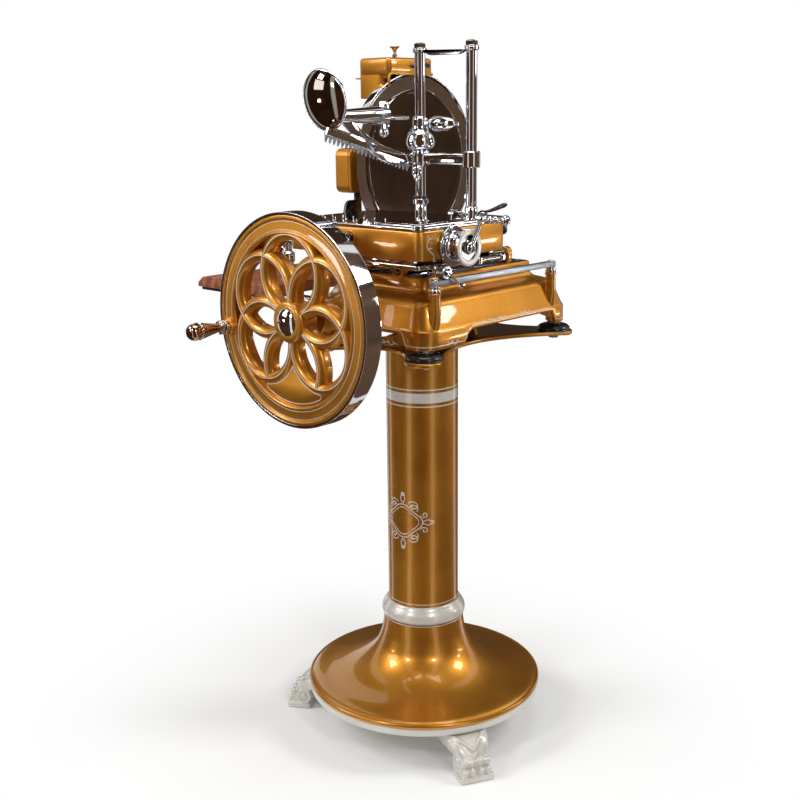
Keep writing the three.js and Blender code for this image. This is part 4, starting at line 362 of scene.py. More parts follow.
@dataclass(frozen=True)
class Finish:
    """What every finish shares: a principled shader, colour that wanders a little, and a fine surface.

    ``wander_mm`` is the size of the slow colour change, ``grain_mm`` that of the surface relief.
    ``stretch`` squeezes the relief along one axis, which makes lay lines from polishing or sawing.
    """

    name: str
    light: str
    dark: str
    metallic: float
    roughness: float
    roughness_spread: float = 0.04
    wander_mm: float = 60.0
    grain_mm: float = 1.5
    relief_mm: float = 0.004
    stretch: tuple = (1.0, 1.0, 1.0)
    coat: float = 0.0
    coat_roughness: float = 0.03

    def make(self) -> Material:
        """Builds the Blender material and returns it."""
        m, shader = principled(self.name, Metallic=self.metallic, Coat_Weight=self.coat,
                               Coat_Roughness=self.coat_roughness)
        where = add_node(m, "ShaderNodeTexCoord").outputs["Object"]
        slow = self.noise(m, where, self.wander_mm, 3.0)
        squeezed = add_node(m, "ShaderNodeMapping", {"Vector": where, "Scale": self.stretch}).outputs[0]
        fine = self.noise(m, squeezed, self.grain_mm, 2.0)
        low, high = self.roughness - self.roughness_spread, self.roughness + self.roughness_spread
        rough = add_node(m, "ShaderNodeMapRange", {"Value": slow, "From Min": 0.3, "From Max": 0.7,
                                                   "To Min": low, "To Max": high})
        bump = add_node(m, "ShaderNodeBump", {"Height": fine, "Strength": 0.6,
                                              "Distance": self.relief_mm * MM})
        for source, name in ((self.colour(m, where, slow, fine), "Base Color"),
                             (rough.outputs[0], "Roughness"), (bump.outputs[0], "Normal")):
            m.node_tree.links.new(source, shader.inputs[name])
        return m

    @staticmethod
    def noise(m: Material, where: NodeSocket, size_mm: float, detail: float) -> NodeSocket:
        """Noise with features of a size."""
        scale = 1000 / size_mm
        return add_node(m, "ShaderNodeTexNoise", {"Vector": where, "Scale": scale,
                                                  "Detail": detail}).outputs[0]

    def colour(self, m: Material, where: NodeSocket, slow: NodeSocket, fine: NodeSocket) -> NodeSocket:
        """The base colour, here the dark and light tones mixed by the slow noise."""
        return ramp(m, slow, 0.35, 0.65, self.dark, self.light)


@dataclass(frozen=True)
class FlakeLacquer(Finish):
    """Metallic lacquer over cast iron: glossy clear coat, and under it flakes that catch the light.

    Real flakes are about 0.05 mm; they are drawn at ``flake_mm`` so that they show at all.
    """

    flake_mm: float = 0.8
    flake_contrast: float = 0.35

    def colour(self, m: Material, where: NodeSocket, slow: NodeSocket, fine: NodeSocket) -> NodeSocket:
        """Small cells of lighter and darker flakes over the slow colour change."""
        cells = add_node(m, "ShaderNodeTexVoronoi", {"Vector": where, "Scale": 1000 / self.flake_mm})
        shine = ramp(m, cells.outputs["Color"], 0.2, 0.9, "#b0b0b0", "#ffffff")
        return multiplied(m, self.flake_contrast, ramp(m, slow, 0.3, 0.7, self.dark, self.light), shine)


@dataclass(frozen=True)
class OiledWood(Finish):
    """Sawn and oiled hardwood: rings stretched along the plank make the grain, pores darken it."""

    ring_mm: float = 9.0

    def colour(self, m: Material, where: NodeSocket, slow: NodeSocket, fine: NodeSocket) -> NodeSocket:
        """Grain bands across the plank, bent by noise, with fine dark pores."""
        along = add_node(m, "ShaderNodeMapping", {"Vector": where, "Scale": (1.0, 0.09, 1.0)}).outputs[0]
        bands = add_node(m, "ShaderNodeTexWave", {"Vector": along, "Scale": 1000 / self.ring_mm / 6.28,
                                                  "Distortion": 9.0, "Detail": 3.0, "Detail Scale": 1.4})
        pores = ramp(m, fine, 0.36, 0.5, "#8a7468", "#ffffff")
        return multiplied(m, 0.7, ramp(m, bands.outputs["Fac"], 0.1, 0.9, self.dark, self.light), pores)


class Coat(Enum):
    """The finishes on this machine, each with the record's slot it belongs to."""

    GOLD = "gold_paint"
    PEARL = "pearl_paint"
    CHROME = "chrome"
    # chrome whose colour is darkened: painted dark reflection
    DARK_MIRROR = "chrome, dark"
    BRUSHED = "chrome, brushed"
    BRONZED = "bronzed_chrome"
    STEEL = "steel"
    BRONZE = "bronze"
    IRON = "cast_iron"
    RUBBER = "black_rubber"
    BLACK = "black_gloss"
    WOOD = "redwood"
    STONE = "stone"

    @property
    def slot(self) -> str:
        """The record's slot: the part of the value before the comma."""
        return self.value.partition(",")[0]


FINISHES = {
    # gold two-coat lacquer on cast iron: orange-brown in the shade, yellow where the light falls
    Coat.GOLD: FlakeLacquer("gold_flake_lacquer", "#e09c39", "#d38e2d", 0.86, 0.36, 0.02, coat=0.8),
    # pearl white lacquer: a soft sheen with a clear coat over it
    Coat.PEARL: FlakeLacquer("pearl_white_lacquer", "#dfdbd2", "#d0ccc3", 0.25, 0.32, coat=0.7,
                             flake_contrast=0.12),
    # polished chrome plate: a mirror with very faint polishing lines
    Coat.CHROME: Finish("polished_chrome_plate", "#d9dbdf", "#cfd1d5", 1.0, 0.055, 0.02,
                        relief_mm=0.0012, stretch=(1.0, 1.0, 7.0)),
    # the same plate, its colour darkened from edge to edge as painted dark reflection: the cover disc and
    # the dish
    Coat.DARK_MIRROR: Finish("polished_chrome_painted_dark_reflection", "#8f8882", "#827b76", 1.0, 0.05, 0.015,
                             relief_mm=0.001),
    # the same plate over a ground face: lay lines across spread the light, so it looks pale grey
    Coat.BRUSHED: Finish("brushed_chrome_plate", "#c6cdd3", "#aeb6bd", 1.0, 0.34, 0.06,
                         grain_mm=0.8, relief_mm=0.006, stretch=(6.0, 1.0, 6.0)),
    # brown-tinted chrome on turned grips
    Coat.BRONZED: Finish("brown_tinted_chrome", "#b59a86", "#9d806c", 1.0, 0.10, 0.03, relief_mm=0.002),
    # ground steel: duller, with lay lines from the wheel
    Coat.STEEL: Finish("ground_steel", "#b4b5b7", "#9a9b9d", 1.0, 0.28, 0.06, grain_mm=0.8,
                       relief_mm=0.006, stretch=(1.0, 6.0, 6.0)),
    # turned bearing bronze
    Coat.BRONZE: Finish("turned_bearing_bronze", "#b58b4d", "#96703a", 1.0, 0.35, 0.06, grain_mm=0.9),
    # machined grey iron under a film of oil
    Coat.IRON: Finish("oiled_grey_iron", "#5c5c5e", "#434345", 0.7, 0.5, 0.08, grain_mm=0.7,
                      relief_mm=0.02),
    # moulded rubber, polished by handling: nearly black with soft highlights
    Coat.RUBBER: Finish("moulded_rubber", "#1e1d1f", "#141315", 0.0, 0.22, 0.05, grain_mm=0.9,
                        relief_mm=0.01),
    # polished black enamel
    Coat.BLACK: Finish("black_stoving_enamel", "#1c191a", "#110f10", 0.0, 0.12, 0.04, coat=1.0),
    # reddish hardwood
    Coat.WOOD: OiledWood("oiled_red_hardwood", "#a8633c", "#7f452a", 0.0, 0.42, 0.08, grain_mm=1.4,
                         relief_mm=0.03, stretch=(1.0, 0.06, 1.0)),
    # bonded abrasive
    Coat.STONE: Finish("bonded_grey_abrasive", "#99948c", "#77726b", 0.0, 0.9, 0.05, grain_mm=0.5,
                       relief_mm=0.08),
}


# Placing pieces in the scene


@dataclass
class Workshop:
    """Turns forms into scene pieces that ride on the frame's bodies."""

    shift: np.ndarray
    materials: dict

    def build(self, name: str, body: str, form: Form, coats: Sequence, replaces: Sequence = (),
              sharp: float = 32.0, voxel_mm: float = 0.0) -> None:
        """Makes one piece that rides on a body.

        The form's finish numbers stand for the coats, and ``replaces`` names the CAD nodes it stands for.
        Edges steeper than ``sharp`` degrees stay sharp. Where ``voxel_mm`` is above zero, the closed forms
        are melted into one cast skin of that fineness.
        """
        mesh = bpy.data.meshes.new(name)
        mesh.from_pydata(((form.points + self.shift) * MM).tolist(), [], form.faces)
        for coat in coats:
            mesh.materials.append(self.materials[coat])
        mesh.polygons.foreach_set("material_index", form.finish.astype(np.int32))
        mesh.polygons.foreach_set("use_smooth", np.ones(len(mesh.polygons), bool))
        mesh.validate()
        mesh.set_sharp_from_angle(angle=math.radians(sharp))
        piece = bpy.data.objects.new(name, mesh)
        bpy.context.scene.collection.objects.link(piece)
        if voxel_mm > 0:
            melt = piece.modifiers.new("melt", "REMESH")
            melt.mode, melt.voxel_size, melt.use_smooth_shade = "VOXEL", voxel_mm * MM, True
            calm = piece.modifiers.new("calm", "SMOOTH")
            calm.factor, calm.iterations = 0.5, 6
        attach(piece, body)
        if replaces:
            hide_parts(*replaces)

    def dress(self, coat: Coat, *nodes: str) -> None:
        """Gives CAD nodes that stay their finish."""
        for node in nodes:
            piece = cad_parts[node]
            piece.data.materials.clear()
            piece.data.materials.append(self.materials[coat])


def ribbon(path: np.ndarray, width: float, rise: float, outward, closed: bool = False) -> Form:
    """A painted line: a thin strip along a path on a surface, lifted by ``rise``, with pointed ends.

    ``outward`` is the surface's normal, or a function that gives it at each point.
    """
    normal = outward(path) if callable(outward) else np.broadcast_to(np.array(outward, float), path.shape)
    ahead = (np.roll(path, -1, 0) - np.roll(path, 1, 0)) if closed else np.gradient(path, axis=0)
    t = np.linspace(0, 1, len(path))
    half = width / 2 * (np.ones(len(path)) if closed else np.clip(8 * np.minimum(t, 1 - t) + 0.2, 0, 1))
    across = unit(np.cross(normal, ahead)) * half[:, None]
    rings = np.stack([path - across, path + normal * rise, path + across], 1)
    return Form(rings.reshape(-1, 3), grid_faces(len(path), 3, wrap_rows=closed, wrap_columns=False))


def scroll(turns: float, size: float, mirror: bool = False, steps: int = 40) -> np.ndarray:
    """A flat spiral tendril that starts at the origin: its radius shrinks evenly as it turns."""
    t = np.linspace(0, 1, steps)
    radius, angle = size * (1 - 0.86 * t), TURN * turns * t
    x, y = radius * np.cos(angle) - size, radius * np.sin(angle)
    return np.stack([-x, -y if mirror else y], -1)


# Pedestal


@dataclass
class Pedestal:
    """Claw feet, foot plate, bell, column and the plate that the machine stands on."""

    column_radius: float = 69.85
    foot_radius: float = 236.0
    foot_low: float = 74.0
    foot_high: float = 82.0
    rim_low: float = 89.4
    column_top: float = 795.0
    stand_top: float = 803.0
    paw_turn: float = 27.5
    lobe_radius: float = 36.0
    foot_xs: tuple = (-68.7, 171.0)
    foot_ys: tuple = (-181.0, 193.0)
    stripes: tuple = ((680.0, 699.6, 0.2), (671.9, 674.5, 0.1), (704.5, 707.1, 0.1), (267.6, 269.4, 0.1))

    def build(self, shop: Workshop) -> None:
        """Makes every piece of the pedestal."""
        for number in range(3):
            shop.build(f"claw_foot_cast_{number + 1}", "frame",
                       self.paw().turned("Z", 120 * number - self.paw_turn), [Coat.PEARL],
                       [f"claw_foot_{number + 1}"], voxel_mm=1.5)
        shop.build("foot_plate_turned", "frame", self.foot_plate(), [Coat.PEARL], ["foot_plate"])
        shop.build("bell_cast", "frame", self.bell(), [Coat.GOLD, Coat.PEARL], ["pedestal_bell"])
        shop.build("column_lacquered", "frame", self.column(), [Coat.GOLD, Coat.PEARL], ["column_tube"],
                   sharp=60)
        shop.build("column_scrollwork", "frame", self.column_ornament(), [Coat.PEARL], sharp=60)
        shop.build("stand_plate_enamelled", "frame", self.stand_plate(), [Coat.BLACK, Coat.GOLD],
                   ["stand_top_plate"])
        for number, (x, y) in enumerate([(x, y) for x in self.foot_xs for y in self.foot_ys]):
            shop.build(f"levelling_foot_moulded_{number + 1}", "frame", self.levelling_foot().moved(x, y),
                       [Coat.RUBBER, Coat.STEEL], [f"levelling_foot_{number + 1}"])
        shop.dress(Coat.STEEL, "tie_rod")

    def paw(self) -> Form:
        """One cast foot along +X: a broad leg with a chevron, two rows of beads and a flat slab pad.

        The leg is a soft square carried down a curve; the parts are melted together by the modifier.
        """
        path = smooth_path([(178, 0, 59), (214, 0, 60), (240, 0, 54), (254, 0, 38), (260, 0, 20),
                            (262, 0, 6)], 30)
        thick = spread(30, [0, 0.35, 0.6, 0.85, 1], [14, 14, 15, 17, 18])
        wide = spread(30, [0, 0.35, 0.6, 0.8, 1], [46, 40, 28, 29, 31])
        leg = sweep(path, round_rect(-1, 1, -1, 1, 0.4, 6), np.stack([thick, wide], -1), up=(0, 1, 0.01))
        parts = [leg, box(238, 287, -34, 34, GAP, 11.5, 1.6, 4), box(240, 281, -30, 30, 10, 17, 1.5, 5)]
        bulge = smooth_profile([(0.1, 5), (5, 4.4), (8, 1.5), (12, 4), (15, 2), (15.5, -5)], 30)
        for side in (-1, 1):
            for shift, drop, wire in ((0, 0, 4.6), (9, 11, 3.4)):
                ridge = smooth_path([(220 + shift, side * 39, 73 - drop),
                                     (243 + shift, side * 22, 67 - drop),
                                     (262 + shift * 0.7, 0, 53 - drop)], 20)
                parts.append(sweep(ridge, circle(wire, 12), up=(0.3, 0, 1)))
            knuckle = revolve(bulge, 36).laid("Y").turned("Z", 90 - 90 * side)
            parts.append(knuckle.moved(250, side * 29, 27))
            for lane in (8.5, 23.5):
                parts.append(ball(7.4, 24).moved(273, side * lane, 35))
                parts.append(ball(1.0, 24).scaled(8.6, 6.6, 7.6).moved(278.5, side * lane, 19))
        return joined(*[self.above_floor(p) for p in parts])

    @staticmethod
    def above_floor(form: Form) -> Form:
        """Presses what reaches below the floor or above the foot plate's underside flat."""
        points = form.points.copy()
        points[:, 2] = np.clip(points[:, 2], GAP, 74 - GAP)
        return Form(points, form.faces, form.finish)

    def foot_plate(self) -> Form:
        """A disc with a round edge: the profile is two fillets."""
        r, low, high = self.foot_radius, self.foot_low, self.rim_low
        edge = fillet([(10.3, low), (r - 1, low), (r - 0.6, high), (r - 30, high),
                       (r - 34, self.foot_high), (10.3, self.foot_high)], [0, 5, 1, 1, 2, 0], 6)
        return revolve(edge, 192, hollow=True)

    def bell(self) -> Form:
        """The bell's sweep as one spline, its rolled rim below and the pearl collar above."""
        rim, low = self.foot_radius, self.rim_low + GAP
        edge = [(rim - 2, low), (rim - 0.6, low + 0.5), (rim, low + 1.8), (rim, 94.6), (rim - 0.5, 96.6),
                (rim - 1.9, 98.2), (rim - 3.6, 98.6), (rim - 4.6, 98.2), (rim - 5.4, 97.9)]
        side = smooth_profile([edge[-1], (220, 102.6), (188, 109.8), (151, 122), (120, 139.5), (98, 161),
                               (87, 185), (82, 206), (79.6, 228)], 70)
        inside = [(70.2, 228), (70.2, 212), (10.3, 212), (10.3, 202), (64, 202), (70, 180), (84, 152),
                  (108, 128), (140, 110), (180, 98), (214, 93), (214, low)]
        skin = revolve(edge + side[1:] + inside, 192, hollow=True)
        r = self.column_radius + GAP
        swell = [(0, 229.5), (9.8, 229.7), (12.6, 233), (13.8, 239), (12.6, 246), (9.2, 252.5),
                 (6.0, 257), (3.9, 260.6), (2.2, 262.3), (0, 262.6)]
        collar = revolve(smooth_profile([(r + out, z) for out, z in swell], 80), 128)
        line = torus(r + 9.7, 226.2, 1.2, 192, 10, 0.75)
        return joined(skin, collar.finished(1), line.finished(1))

    def column(self) -> Form:
        """A plain tube with a broad pearl band, a fine line above and below it and one at the foot."""
        r, top = self.column_radius, self.column_top - GAP
        skin = revolve([(r - 5, 212.3), (r, 212.3), (r, top), (r - 5, top)], 160, hollow=True)
        proud = r + 0.25
        stripes = [revolve([(r - 1, low), (proud, low + soft), (proud, high - soft), (r - 1, high)], 160,
                           hollow=True) for low, high, soft in self.stripes]
        return joined(skin, joined(*stripes).finished(1))

    def column_ornament(self) -> Form:
        """A bare lozenge framed by tendrils, drawn flat and wrapped round the column.

        A flat point (u, v) goes to the angle u / radius about the axis and the height v.
        """
        centre_angle, middle, radius = math.radians(-82.0), 442.0, self.column_radius
        strokes = []

        def stroke(points: np.ndarray, width: float, closed: bool = False) -> None:
            """Wraps one flat stroke round the column and keeps it."""
            angle = centre_angle + 1.2 * points[:, 0] / radius
            path = np.stack([radius * np.cos(angle), radius * np.sin(angle), middle + points[:, 1]], -1)
            strokes.append(ribbon(path, width, 0.35, lambda p: p * (1 / radius, 1 / radius, 0), closed))

        for size, width in ((31.0, 2.0), (25.42, 1.1)):
            bulge = 1 + 0.10 * np.cos(4 * np.linspace(0, TURN, 72, endpoint=False))
            stroke(circle(size, 72) * bulge[:, None], width, True)
        leaves = [([(0, 36), (4, 44), (3, 51), (0, 57)], 20, 1.8),
                  ([(33, 0), (41, 5), (47, 4), (52, 0)], 20, 1.8),
                  ([(12, 31), (22, 34), (27, 28), (24, 22)], 24, 1.6)]
        for flip in ((-1, -1), (-1, 1), (1, -1), (1, 1)):
            stroke((scroll(1.35, 10) + [9, 33]) * flip, 1.9)
            stroke((scroll(1.25, 7, True) + [30, 16]) * flip, 1.7)
            for points, count, width in leaves:
                stroke(smooth_path(points, count) * flip, width)
        for place in ((0, 55), (0, -55), (50, 0), (-50, 0)):
            stroke(circle(3.0, 72) + place, 1.6, True)
        return joined(*strokes)

    def stand_outline(self) -> np.ndarray:
        """A round lobe under each foot, joined by drawn-in sides."""
        (left, right), (front, back) = self.foot_xs, self.foot_ys
        middle_x, middle_y = (left + right) / 2, (front + back) / 2
        spans = [(-135, 0, (right, front)), (0, 135, (right, back)), (45, 180, (left, back)),
                 (180, 315, (left, front))]
        lobes = [arc(self.lobe_radius, start, end, 24) + place for start, end, place in spans]
        pulls = [(middle_x - (right - middle_x) * 0.1, middle_y),
                 (middle_x, middle_y + (back - middle_y) * 0.725),
                 (middle_x + (middle_x - left) * 0.1, middle_y),
                 (middle_x, middle_y - (middle_y - front) * 0.45)]
        parts = []
        for i, lobe in enumerate(lobes):
            parts += [lobe, bend(lobe[-1], pulls[i], lobes[(i + 1) % 4][0], 26)[1:-1]]
        return np.vstack(parts)

    def stand_plate(self) -> Form:
        """The enamelled plate with its gold edge: upper and lower faces black, the rounded rim gold."""
        outline, high = self.stand_outline(), self.stand_top
        form = plate(outline, self.column_top, high, 2.6, 5)
        form.finish[: 11 * len(outline)] = 1
        top = plate(inset(outline, 5.5), high - 1, high + 0.15, 0.1, 1)
        line = loft(np.array([at_height(inset(outline, i), high + GAP) for i in (3.4, 4.6)]),
                    capped=False)
        return joined(form, top, line.finished(1))

    def levelling_foot(self) -> Form:
        """A rubber dome with a steel washer and hexagon over it, and the nut under the plate."""
        base = self.stand_top + GAP
        dome = [(1, 0), (29, 0), (30.8, 2.5), (30.4, 6), (26, 10), (19, 12), (15, 13.2), (1, 13.2)]
        rubber = revolve(smooth_profile([(r, base + z) for r, z in dome], 50), 64)
        washer = rod(13.5, 2.2, 0.5).moved(0, 0, base + 12.6)
        hexagon = nut(10, 5.6).moved(0, 0, base + 12)
        stud = rod(6, 50, 0.8).moved(0, 0, 788)
        head = nut(10, 7).moved(0, 0, 787.6)
        return joined(rubber, joined(washer, hexagon, stud, head).finished(1))


# Base casting, rails and bearings


@dataclass
class Base:
    """The drafted tub on four legs with its shoulder, plinth, snout, pillars and rails."""

    left: float = -91.0
    right: float = 193.0
    front: float = -203.0
    back: float = 215.0
    bottom: float = 821.0
    corner: float = 34.0
    arch_height: float = 25.0
    leg_length: float = 108.0
    rear_leg: float = 46.0
    leg_width: float = 48.0
    rail_x: float = 185.0
    rail_top: float = 940.0
    pillar_ys: tuple = (-171.0, 160.0)
    rod_xs: tuple = (-10.0, 80.0)
    rod_ys: tuple = (-151.0, 149.0)
    rod_z: float = 949.0

    def build(self, shop: Workshop) -> None:
        """Makes the base's pieces."""
        shop.build("base_cast_tub", "frame", self.tub(), [Coat.GOLD], ["base_casting"], sharp=40)
        shop.build("base_snout", "frame", self.snout(), [Coat.GOLD])
        shop.build("base_pillars", "frame", self.pillars(), [Coat.GOLD, Coat.CHROME])
        shop.build("base_inner_castings", "frame", self.inside(), [Coat.GOLD])
        shop.build("base_pinstripes", "frame", self.pinstripes(), [Coat.PEARL], sharp=60)
        shop.build("plinth_top_cover", "frame", self.top_cover(), [Coat.BLACK, Coat.STEEL])
        shop.build("outer_rail_ground", "frame", self.outer_rail(), [Coat.BRUSHED, Coat.CHROME],
                   ["outer_rail"])
        for name, x in zip(("guide_rod_left", "guide_rod_right"), self.rod_xs):
            form = rod(7, 314, 1.2).laid("Y").moved(x, self.rod_ys[0], self.rod_z)
            shop.build(f"{name}_ground", "frame", form, [Coat.CHROME], [name])
        shop.dress(Coat.BRONZE, "front_bearing", "rear_bearing", "cross_bearing", "blade_bearing")

    def outline(self, inward: float, corner: float, steps: int = 14, along: int = 30) -> np.ndarray:
        """The tub's outline at one level: a round-cornered rectangle with points spread along its sides."""
        corners = round_rect(self.left + inward, self.right - inward, self.front + inward,
                             self.back - inward, max(corner, 2), steps)
        t = np.linspace(0, 1, along + 2)[1:-1, None]
        parts = []
        for q in range(4):
            a, b = corners[(q + 1) * steps - 1], corners[((q + 1) % 4) * steps]
            parts += [corners[q * steps:(q + 1) * steps], a + (b - a) * t]
        return np.vstack(parts)

    def arch(self, points: np.ndarray) -> np.ndarray:
        """How far the lower edge rises at each outline point: a smooth step up between the legs."""
        x, y = points[:, 0], points[:, 1]

        def window(value: np.ndarray, low: float, high: float) -> np.ndarray:
            """A smooth gate: 1 well inside low..high, 0 outside, over 16 mm."""
            t = np.clip(np.minimum(value - low, high - value) / 16.0, 0, 1)
            return np.sqrt(np.clip(1 - (1 - t) ** 2, 0, 1))

        side = window(y, self.front + self.leg_length, self.back - self.rear_leg)
        end = window(x, self.left + self.leg_width, self.right - self.leg_width)
        on_side = (np.abs(x - self.left) < 40) | (np.abs(x - self.right) < 40)
        return self.arch_height * np.where(on_side, side, end)

    def tub(self) -> Form:
        """Skin from the lower edge to the plinth's top, outside and then back down inside.

        Each level is a round-cornered rectangle; the lowest ring is lifted by the arches.
        """
        c, low = self.corner, self.outline(0, self.corner)
        edge = self.bottom + self.arch(low)
        rings = [at_height(self.outline(1.6, c - 1.6), edge), at_height(self.outline(0.4, c), edge + 0.5),
                 at_height(low, edge + 1.8)]
        shoulder = smooth_path([(0, 853), (3, 858), (9, 874), (13.5, 888), (16.5, 896), (22, 902),
                                (32, 906), (42, 909), (48, 913), (51, 918), (52, 924)], 34)
        levels = [(i, c - 5 * np.clip(i / 14, 0, 1) - 12 * np.clip((i - 14) / 38, 0, 1), z)
                  for i, z in shoulder]
        levels += [(i, c / 2, z) for i, z in ((52, 934), (52.6, 936.4), (54.4, 938))]
        levels += [(62, 12, 938), (62, 12, 930)]
        levels += [(i, c - 8, z)
                   for i, z in ((60, 926), (60, 916), (40, 901), (26, 896), (23, 888), (8, 852))]
        rings += [at_height(self.outline(inward, corner), z) for inward, corner, z in levels]
        rings.append(at_height(self.outline(8, c - 8), edge + 0.2))
        return loft(np.array(rings), closed=True)

    def snout(self) -> Form:
        """The round nose that carries the front bearing, flaring into the front wall."""
        nose = fillet([(17.2, 0), (30, 0), (30, 34)], [0, 3, 0], 6, closed=False).tolist()
        flare = smooth_path([(30, 34), (31.5, 50), (37, 68), (47, 82), (56, 90)], 20)[1:].tolist()
        form = revolve(nose + flare + [(40, 96), (17.2, 96)], 96, hollow=True).laid("Y")
        ring = tube(22, 12.3, 3, 0.8).laid("Y").moved(0, -1.4, 0)
        return joined(form, ring).moved(2, self.front - 80, 872)

    def pillars(self) -> Form:
        """Two pillars outside the right wall with fairings, and the lugs that hold the guide rods."""
        parts = []
        low = self.rail_top - 21 - GAP
        widths = np.column_stack([spread(30, [0, 0.5, 1], [11, 9.4, 9]),
                                  spread(30, [0, 0.6, 1], [15, 11, 9])])
        for y in self.pillar_ys:
            path = smooth_path([(174, y, 838), (179, y, 858), (184, y, 880), (185, y, 900),
                                (185, y, low)], 30)
            parts.append(sweep(path, circle(1.0, 40), widths, up=(1, 0, 0)))
            parts.append(tube(10.8, 4.8, 4, 1).moved(self.rail_x, y, low - 4))
        for x in self.rod_xs:
            for y in self.rod_ys:
                parts.append(box(x - 12, x + 12, y, y + 14, 934, self.rod_z, 0.6, 3))
                parts.append(tube(12, 7.3, 14, 1).laid("Y").moved(x, y, self.rod_z))
        return joined(*parts)

    def inside(self) -> Form:
        """Leg sockets and the rear bearing's web, under the shell."""
        socket = tube(16, 6.3, 30, 1)
        sockets = [socket.moved(x, y, self.bottom + GAP)
                   for x in Pedestal.foot_xs for y in Pedestal.foot_ys]
        web = box(-41, 45, 90, 106, 902, 934, 1, 4)
        eye = tube(30, 17.3, 16, 1.5).laid("Y").moved(2, 90, 872)
        return joined(*sockets, web, eye)

    def on_wall(self, points: np.ndarray, front: bool) -> np.ndarray:
        """Lays flat (along, z) points on the leaning right wall, or on the front wall."""
        lean = np.interp(points[:, 1], [821, 853, 858, 874, 888, 896], [0, 0, 3, 9, 13.5, 16.5]) - GAP
        if front:
            return np.column_stack([points[:, 0], self.front + lean, points[:, 1]])
        return np.column_stack([self.right - lean, points])

    def flourish(self, along: float, z: float, toward: int, size: float, front: bool) -> Form:
        """A painted vine that waves along the lower line, with three buds on it."""
        t = np.linspace(0, 1, 80)[:, None]
        vine = np.hstack([size * 6 * t, size * 0.34 * np.sin(TURN * 2 * t) * np.sin(TURN / 2 * t)])
        buds = [smooth_path([(x, 1.6), (x + 1.5, 3.2), (x + 4.2, size * 0.62)], 12)
                for x in size * np.array([1.2, 2.9, 4.6])]
        outward = (0, -1, 0) if front else (1, 0, 0)
        return joined(*[ribbon(self.on_wall(line * (toward, 1) + (along, z), front), width, 0.3, outward)
                        for line, width in zip([vine, *buds], (1.5, 2.3, 2.3, 2.3))])

    def pinstripes(self) -> Form:
        """A pearl line round the lower edge, with vines at the arch's ends and over its middle."""
        low = self.outline(0, self.corner)
        edge = at_height(low, self.bottom + self.arch(low) + 7)
        middle = np.array([(self.left + self.right) / 2, (self.front + self.back) / 2])
        far = np.array([(self.right - self.left) / 2, (self.back - self.front) / 2]) - self.corner

        def outward(p: np.ndarray) -> np.ndarray:
            """Normal of the round-cornered tub."""
            offset = p[:, :2] - middle
            return at_height(unit(offset - np.clip(offset, -far, far)), 0.0)

        foot = self.bottom + 7
        top = foot + self.arch_height
        vines = [(-112, foot, -1, 7, False), (-55, top, 1, 7, False), (95, top, -1, 7, False),
                 (20, top, -1, 5, False), (128, foot, -1, 7, True), (60, top, -1, 7, True)]
        return joined(ribbon(edge, 1.5, 0.3, outward, closed=True),
                      *[self.flourish(*vine) for vine in vines])

    def top_cover(self) -> Form:
        """The dark polished cover on the plinth, with six domed screws."""
        cover = box(-28, 130, -140, 152, 936, 939.2, 0.8, 10)
        screw = revolve([(AXIS, 0), (4, 0), (4, 0.8), (2.6, 1.8), (AXIS, 2.1)], 24).finished(1)
        return joined(cover, *[screw.moved(x, y, 939) for x in (20, 60, 118) for y in (-128, 142)])

    def outer_rail(self) -> Form:
        """A flat ground bar on two collars, held by two low screws."""
        x, top = self.rail_x, self.rail_top
        swell = [(4.5, 0), (9.6, 0), (10, 1.5), (10, 5), (8.4, 7), (8.4, 11), (4.5, 11)]
        collar = revolve(smooth_profile([(r, top - 21 + z) for r, z in swell], 40), 48)
        dome = [(AXIS, -0.2), (5.4, -0.2), (5.4, 1.2), (4.4, 2.0), (AXIS, 2.2)]
        head = revolve([(r, top + z) for r, z in dome], 48)
        ends = [form.moved(x, y).finished(1) for y in self.pillar_ys for form in (collar, head)]
        return joined(box(x - 7, x + 7, -180, 168, top - 10, top, 0.8, 2), *ends)


# Flywheel


